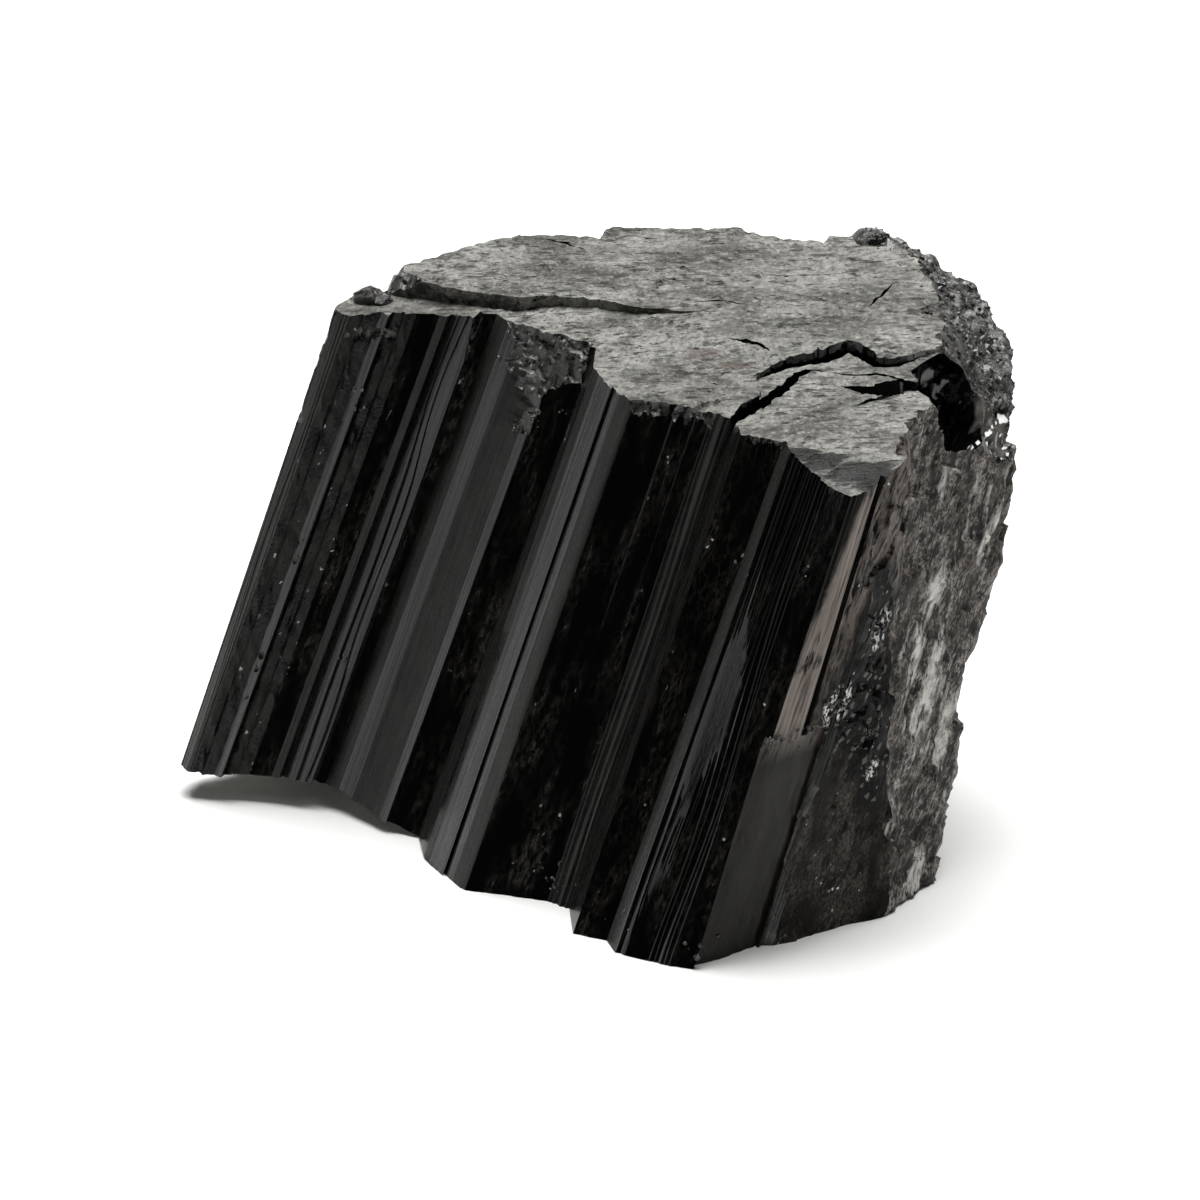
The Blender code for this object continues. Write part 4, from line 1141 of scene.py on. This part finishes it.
def etched_face_material():
    """Etched schorl: a dull grey crust of tiny pits, with islands of bare black face and tiny painted
    glints on the crust.
    """
    material, tree, shader = new_material("schorl_etched_face")
    space = crystal_space(tree)
    island_place = drawn_noise(tree, space, (1.6, 1.6, 4.5), 4.0, 0.65)
    grain = drawn_noise(tree, space, (0.22, 0.22, 0.3), 4.0, 0.7)
    cells = grain_cells(tree, space, (0.2, 0.2, 0.26))
    crust = blend(tree, spread(tree, grain, 0.38, 0.62), "#090908", "#272522")
    colour = blend(tree, spread(tree, island_place, 0.46, 0.52), "#060606", crust)
    # Painted glints: a few tiny cells of the crust painted near white.
    painted_glint = times(tree, spread(tree, cells, 0.992, 0.995), spread(tree, island_place, 0.48, 0.56))
    colour = blend(tree, painted_glint, colour, "#b4b3ae")
    dress(tree, shader, colour, spread(tree, island_place, 0.44, 0.54, 0.18, 0.50), 0.22)
    bump(tree, shader, (grain, 0.9, 0.10), (cells, 0.3, 0.05))
    return material


def filmed_face_material():
    """A prism face under a thin brownish-grey film, worn through along the striations."""
    material, tree, shader = new_material("schorl_filmed_face")
    space = crystal_space(tree)
    streaks = drawn_noise(tree, space, (0.22, 0.22, 12.0), 3.0, 0.6)
    wear = drawn_noise(tree, space, (0.8, 0.8, 3.0), 4.0, 0.65)
    height = add(tree, "ShaderNodeSeparateXYZ", {0: space}).outputs["Z"]
    film = blend(tree, spread(tree, height, 15.0, 18.5), "#1f1e1b", "#8c837d")
    film = blend(tree, spread(tree, streaks, 0.52, 0.40, 0.0, 0.7), film, "#2c2825")
    across = add(tree, "ShaderNodeVectorMath", {0: space, 1: (1.0, 0.0, -0.06)}, operation='DOT_PRODUCT')
    frayed = number_math(tree, 'MULTIPLY_ADD', wear, 1.2, across.outputs["Value"])
    kept = times(tree, spread(tree, frayed, 6.3, 6.8), spread(tree, wear, 0.33, 0.43))
    colour = blend(tree, kept, "#0a0a09", film)
    dress(tree, shader, colour, spread(tree, wear, 0.35, 0.6, 0.30, 0.50), 0.12)
    bump(tree, shader, (streaks, 0.5, 0.05), (wear, 0.3, 0.05))
    return material


# Egg-shaped patches of crystal space: middle and radii.
STAINS = (
    ((-5.1, -6.3, 38.3), (1.7, 0.8, 3.0)),
    ((-2.8, -7.8, 38.1), (1.9, 0.7, 3.0)),
)
# Painted shade on the bevel, which tilts away from the overhead light.
PAINTED_BEVEL_SHADE = (
    ((2.6, -20.9, 36.8), (1.8, 0.9, 1.5)),
    ((4.6, -22.0, 36.4), (1.9, 1.0, 1.5)),
    ((6.6, -23.0, 36.2), (1.9, 1.3, 1.5)),
    ((8.4, -23.9, 36.1), (1.9, 1.7, 1.5)),
)


def end_break_material():
    """Broken schorl across the axis: satin grey, with fine steps and thin ticks drawn out along x, and
    painted shade and painted highlights on its small ledges.
    """
    material, tree, shader = new_material("schorl_end_break")
    space = crystal_space(tree)
    ticks = drawn_noise(tree, space, (0.9, 0.26, 1.0), 3.0, 0.6)
    steps = drawn_noise(tree, space, (3.2, 0.55, 1.0), 4.0, 0.6)
    cloud = drawn_noise(tree, space, (7.0, 4.0, 4.0), 3.0, 0.5)
    dash_bumps_and_painted_light = drawn_noise(tree, space, (0.9, 0.7, 1.0), 4.0, 0.7)
    grain = drawn_noise(tree, space, (0.30, 0.36, 0.3), 3.0, 0.75)
    calm = spread(tree, drawn_noise(tree, space, (5.0, 2.6, 4.0), 3.0, 0.6), 0.42, 0.58, 1.0, 0.55)
    marks = drawn_noise(tree, space, (1.5, 0.6, 1.0), 3.0, 0.65)
    crowded = drawn_noise(tree, space, (5.0, 2.2, 3.0), 2.0, 0.5)
    colour = blend(tree, spread(tree, cloud, 0.38, 0.62), "#504f4a", "#888782")
    # Painted shade and painted highlights of the small ledges: dark and light dashes, which are bumps as
    # well.
    colour = blend(tree, times(tree, calm, spread(tree, dash_bumps_and_painted_light, 0.50, 0.36, 0.0, 0.8)), colour, "#2b2925")
    colour = blend(tree, times(tree, calm, spread(tree, dash_bumps_and_painted_light, 0.52, 0.68, 0.0, 0.55)), colour, "#b3b2aa")
    colour = blend(tree, spread(tree, grain, 0.50, 0.34, 0.0, 0.6), colour, "#33322c")
    colour = blend(tree, spread(tree, grain, 0.56, 0.70, 0.0, 0.5), colour, "#aeada6")
    # Painted shade in the small hollows of the marks, which the bump sinks.
    mark_hollows_and_painted_shade = times(tree, spread(tree, marks, 0.44, 0.37), spread(tree, crowded, 0.44, 0.56, 0.25, 1.0))
    colour = blend(tree, times(tree, mark_hollows_and_painted_shade, 0.85), colour, "#1b1a17")
    colour = blend(tree, times(tree, patches(tree, space, STAINS, steps, 0.5), 0.6), colour, "#4e3f3a")
    # Painted shade on the bevel.
    colour = blend(tree, patches(tree, space, PAINTED_BEVEL_SHADE, steps), colour, "#161513")
    # Painted shade below the fine steps of the break.
    colour = blend(tree, spread(tree, steps, 0.41, 0.35, 0.0, 0.8), colour, "#24231f")
    # Painted shade of the thin ticks.
    colour = blend(tree, spread(tree, ticks, 0.375, 0.34), colour, "#100f0d")
    dress(tree, shader, colour, spread(tree, cloud, 0.3, 0.7, 0.42, 0.58), 0.14)
    bump(
        tree, shader, (steps, 0.9, 0.30), (mark_hollows_and_painted_shade, 0.7, -0.12), (dash_bumps_and_painted_light, 0.8, 0.16),
        (grain, 0.8, 0.08))
    return material


CRUSHED_PATCHES = (
    ((12.4, -20.4, 24.6), (3.0, 3.6, 4.0)),
    ((13.6, -19.6, 22.0), (3.4, 4.0, 5.0)),
    ((12.8, -21.6, 18.3), (3.4, 3.8, 4.6)),
    ((16.2, -18.4, 15.7), (2.6, 3.2, 6.0)),
    ((17.6, -18.3, 11.4), (1.9, 2.2, 3.6)),
    ((20.4, -16.8, 8.4), (1.1, 1.3, 4.6)),
)
# Places of painted glints on the crushed grains.
PAINTED_GLINT_PATCHES = (
    ((13.9, -18.8, 22.3), (1.5, 1.6, 1.9)),
    ((12.1, -22.3, 18.5), (1.5, 1.6, 1.7)),
    ((17.3, -18.5, 11.6), (0.7, 0.8, 0.8)),
)


def side_break_material():
    """Broken schorl along the axis: brownish grey and calm below, streaky above, crushed between them, with
    painted glints on the crushed grains and a few elsewhere.
    """
    material, tree, shader = new_material("schorl_side_break")
    space = crystal_space(tree)
    streaks = drawn_noise(tree, space, (0.7, 0.6, 2.4), 4.0, 0.7)
    cloud = drawn_noise(tree, space, (3.0, 3.0, 4.5), 4.0, 0.6)
    grain = drawn_noise(tree, space, (0.2, 0.2, 0.3), 3.0, 0.7)
    cells = grain_cells(tree, space, (0.34, 0.34, 0.42))
    fine_cells = grain_cells(tree, space, (0.15, 0.15, 0.18))
    height = add(tree, "ShaderNodeSeparateXYZ", {0: space}).outputs["Z"]
    calm = blend(tree, spread(tree, cloud, 0.40, 0.60), "#26231f", "#5a554f")
    calm = blend(tree, spread(tree, streaks, 0.36, 0.50), "#0f0e0d", calm)
    calm = blend(tree, spread(tree, grain, 0.35, 0.62), "#0f0e0d", calm)
    swirl = blend(tree, spread(tree, streaks, 0.42, 0.56), "#0e0c0b", "#6e6660")
    colour = blend(tree, spread(tree, height, 16.0, 26.0), calm, swirl)
    crushed = patches(tree, space, CRUSHED_PATCHES, cloud)
    bits = blend(tree, spread(tree, cells, 0.60, 0.72), "#040404", "#1a1816")
    bits = blend(tree, spread(tree, cells, 0.91, 0.93), bits, "#5d5b57")
    colour = blend(tree, crushed, colour, bits)
    # Painted glints: crushed grains in these places, and a few sparse cells elsewhere, painted near white.
    white = times(tree, patches(tree, space, PAINTED_GLINT_PATCHES, cloud), largest(
        tree, spread(tree, cells, 0.56, 0.58), spread(tree, fine_cells, 0.66, 0.68)))
    white = times(tree, white, spread(tree, streaks, 0.43, 0.47))
    sparse_painted_glints = times(tree, spread(tree, fine_cells, 0.992, 0.995), spread(tree, cloud, 0.50, 0.58))
    colour = blend(tree, largest(tree, white, sparse_painted_glints), colour, "#e6e5e1")
    dress(tree, shader, colour, spread(tree, crushed, 0.0, 1.0, 0.50, 0.35), 0.06)
    bump(tree, shader, (streaks, 0.8, 0.16), (cells, 0.5, 0.10), (grain, 0.7, 0.06))
    return material


# Where flat flakes are likely; they are smoother, and painted light is put on them.
FLAT_FLAKE_AND_PAINTED_LIGHT_PATCHES = (
    ((18.4, -13.6, 23.6), (1.3, 1.8, 3.0)),
    ((18.3, -14.8, 18.6), (1.0, 1.5, 5.0)),
    ((20.2, -13.5, 15.5), (1.7, 2.2, 5.4)),
    ((23.0, -11.8, 12.6), (1.6, 2.0, 3.6)),
    ((24.7, -14.5, 1.6), (2.2, 2.3, 2.6)),
    ((21.6, -9.8, 25.5), (0.8, 1.5, 3.4)),
)


def splinter_break_material():
    """The lighter rough side: grey splinters along the axis and brown dust, with painted light on its flat
    flakes and painted shade in its nicks.
    """
    material, tree, shader = new_material("schorl_splinter_break")
    space = crystal_space(tree)
    streaks = drawn_noise(tree, space, (0.5, 0.5, 1.8), 4.0, 0.75)
    cloud = drawn_noise(tree, space, (2.6, 2.6, 4.5), 4.0, 0.6)
    mottle = drawn_noise(tree, space, (0.8, 0.8, 1.1), 4.0, 0.75)
    grain = drawn_noise(tree, space, (0.2, 0.2, 0.3), 3.0, 0.7)
    splinters = drawn_noise(tree, space, (0.9, 0.9, 4.5), 4.0, 0.7)
    dust = blend(tree, spread(tree, cloud, 0.38, 0.62), "#6f6860", "#b5aea7")
    dust = blend(tree, spread(tree, mottle, 0.42, 0.56), "#191614", dust)
    dust = blend(tree, spread(tree, grain, 0.38, 0.60), "#26221f", dust)
    # Painted shade in the nicks along the streaks.
    colour = blend(tree, spread(tree, streaks, 0.47, 0.40), dust, "#0b0a09")
    likely = add(tree, "ShaderNodeMath", {
        0: patches(tree, space, FLAT_FLAKE_AND_PAINTED_LIGHT_PATCHES, cloud, 1.0), 1: 0.38, 2: splinters,
    }, operation='MULTIPLY_ADD').outputs[0]
    # Painted light: flat flakes painted pale, as if they caught the light from the right. The same flakes
    # are also smoother and bumped.
    flat = times(tree, spread(tree, likely, 0.56, 0.71), spread(tree, streaks, 0.36, 0.46))
    painted_light_tone = blend(tree, spread(tree, mottle, 0.38, 0.54), "#999791", "#dedcd6")
    colour = blend(tree, flat, colour, painted_light_tone)
    dress(tree, shader, colour, spread(tree, flat, 0.0, 1.0, 0.55, 0.42), 0.2)
    bump(tree, shader, (flat, 0.6, 0.15), (streaks, 0.9, 0.25), (grain, 0.8, 0.08))
    return material


SHELL_PLATES = (
    ((19.0, -4.5, 34.5), (1.6, 4.5, 4.0)),
    ((20.6, -6.0, 33.0), (1.5, 3.0, 3.0)),
)


def shell_break_material():
    """Shell-like break: clean glassy black, with a greyer plate beside the pocket."""
    material, tree, shader = new_material("schorl_shell_break")
    space = crystal_space(tree)
    ripple = drawn_noise(tree, space, (1.2, 1.2, 1.2), 2.0, 0.5)
    plate = patches(tree, space, SHELL_PLATES, ripple)
    colour = blend(tree, plate, "#070707", "#52504c")
    dress(tree, shader, colour, spread(tree, ripple, 0.3, 0.7, 0.08, 0.20))
    bump(tree, shader, (ripple, 0.3, 0.10))
    return material


def rubble_material():
    """Crushed schorl: tiny glassy faces in every direction, with grey dust between them."""
    material, tree, shader = new_material("schorl_rubble")
    space = crystal_space(tree)
    dust = drawn_noise(tree, space, (0.5, 0.5, 0.5), 5.0, 0.75)
    cells = grain_cells(tree, space, (0.22, 0.22, 0.22))
    colour = blend(tree, spread(tree, dust, 0.44, 0.60), "#060606", "#44423e")
    colour = blend(tree, spread(tree, cells, 0.95, 0.97), colour, "#86847f")
    dress(tree, shader, colour, spread(tree, dust, 0.4, 0.6, 0.10, 0.50))
    bump(tree, shader, (dust, 0.6, 0.15), (cells, 0.4, 0.08))
    return material


def floor_material():
    """Matt white paper."""
    material, _, shader = new_material("white_paper")
    shader.inputs["Base Color"].default_value = linear("#fafaf8")
    shader.inputs["Roughness"].default_value = 0.9
    return material


# ---------------------------------------------------------------------------
# Studio
# ---------------------------------------------------------------------------

def add_softbox(name, place, aim, size, watts):
    light = bpy.data.lights.new(name, 'AREA')
    light.shape = 'RECTANGLE'
    light.size, light.size_y = size
    light.energy = watts
    lamp = bpy.data.objects.new(name, light)
    lamp.location = place
    lamp.rotation_euler = (Vector(aim) - Vector(place)).to_track_quat('-Z', 'Y').to_euler()
    bpy.context.scene.collection.objects.link(lamp)


def make_studio():
    scene = bpy.context.scene
    bm = bmesh.new()
    bmesh.ops.create_grid(bm, x_segments=1, y_segments=1, size=FLOOR_SIZE / 2.0)
    mesh = bpy.data.meshes.new("floor")
    bm.to_mesh(mesh)
    bm.free()
    floor = bpy.data.objects.new("floor", mesh)
    floor.data.materials.append(floor_material())
    scene.collection.objects.link(floor)

    world = bpy.data.worlds.new("studio")
    world.use_nodes = True
    world.node_tree.nodes["Background"].inputs["Color"].default_value = (1.0, 1.0, 1.0, 1.0)
    world.node_tree.nodes["Background"].inputs["Strength"].default_value = 0.012
    scene.world = world

    add_softbox("overhead_softbox", (0.05, 0.34, 0.90), (0.0, 0.0, 0.0), (0.80, 0.64), 19.2)
    add_softbox("left_card", (-0.80, 0.41, 0.08), (0.0, 0.0, 0.03), (1.1, 0.16), 0.45)
    add_softbox("front_left_card", (-0.889, -0.141, 0.19), (0.0, 0.0, 0.03), (0.54, 0.28), 0.40)
    add_softbox("glint_lamp", (0.35, -0.45, 0.90), (0.0, 0.0, 0.03), (0.2, 0.2), 0.35)

    camera = bpy.data.cameras.new("camera")
    camera.lens = CAMERA_LENS
    camera.sensor_width = 36.0
    camera.clip_start = 0.01
    viewer = bpy.data.objects.new("camera", camera)
    viewer.location = CAMERA_PLACE
    viewer.rotation_euler = (Vector(CAMERA_AIM) - Vector(CAMERA_PLACE)).to_track_quat('-Z', 'Y').to_euler()
    scene.collection.objects.link(viewer)
    scene.camera = viewer
    scene.view_settings.view_transform = 'Standard'


# ---------------------------------------------------------------------------
# Assembly
# ---------------------------------------------------------------------------

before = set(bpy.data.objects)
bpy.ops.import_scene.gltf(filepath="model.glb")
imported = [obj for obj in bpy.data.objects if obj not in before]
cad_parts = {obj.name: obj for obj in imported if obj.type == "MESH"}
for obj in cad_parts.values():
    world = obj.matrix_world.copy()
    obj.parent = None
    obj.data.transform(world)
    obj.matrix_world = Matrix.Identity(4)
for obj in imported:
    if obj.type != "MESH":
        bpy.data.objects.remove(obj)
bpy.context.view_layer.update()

piece = make_crystal()
makers = (
    prism_face_material, satin_face_material, veiled_face_material, etched_face_material,
    filmed_face_material, end_break_material, side_break_material, splinter_break_material,
    shell_break_material, rubble_material,
)
materials = [make() for make in makers]
for slot, material in enumerate(materials):
    piece.data.materials[slot] = material
scatter_grains(piece, materials[RUBBLE])
piece.data.shade_smooth()
piece.data.set_sharp_from_angle(angle=math.radians(24.0))
print("triangles", sum(len(face.vertices) - 2 for face in piece.data.polygons))
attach(piece, "root")
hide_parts("tourmaline_crystal")
make_studio()
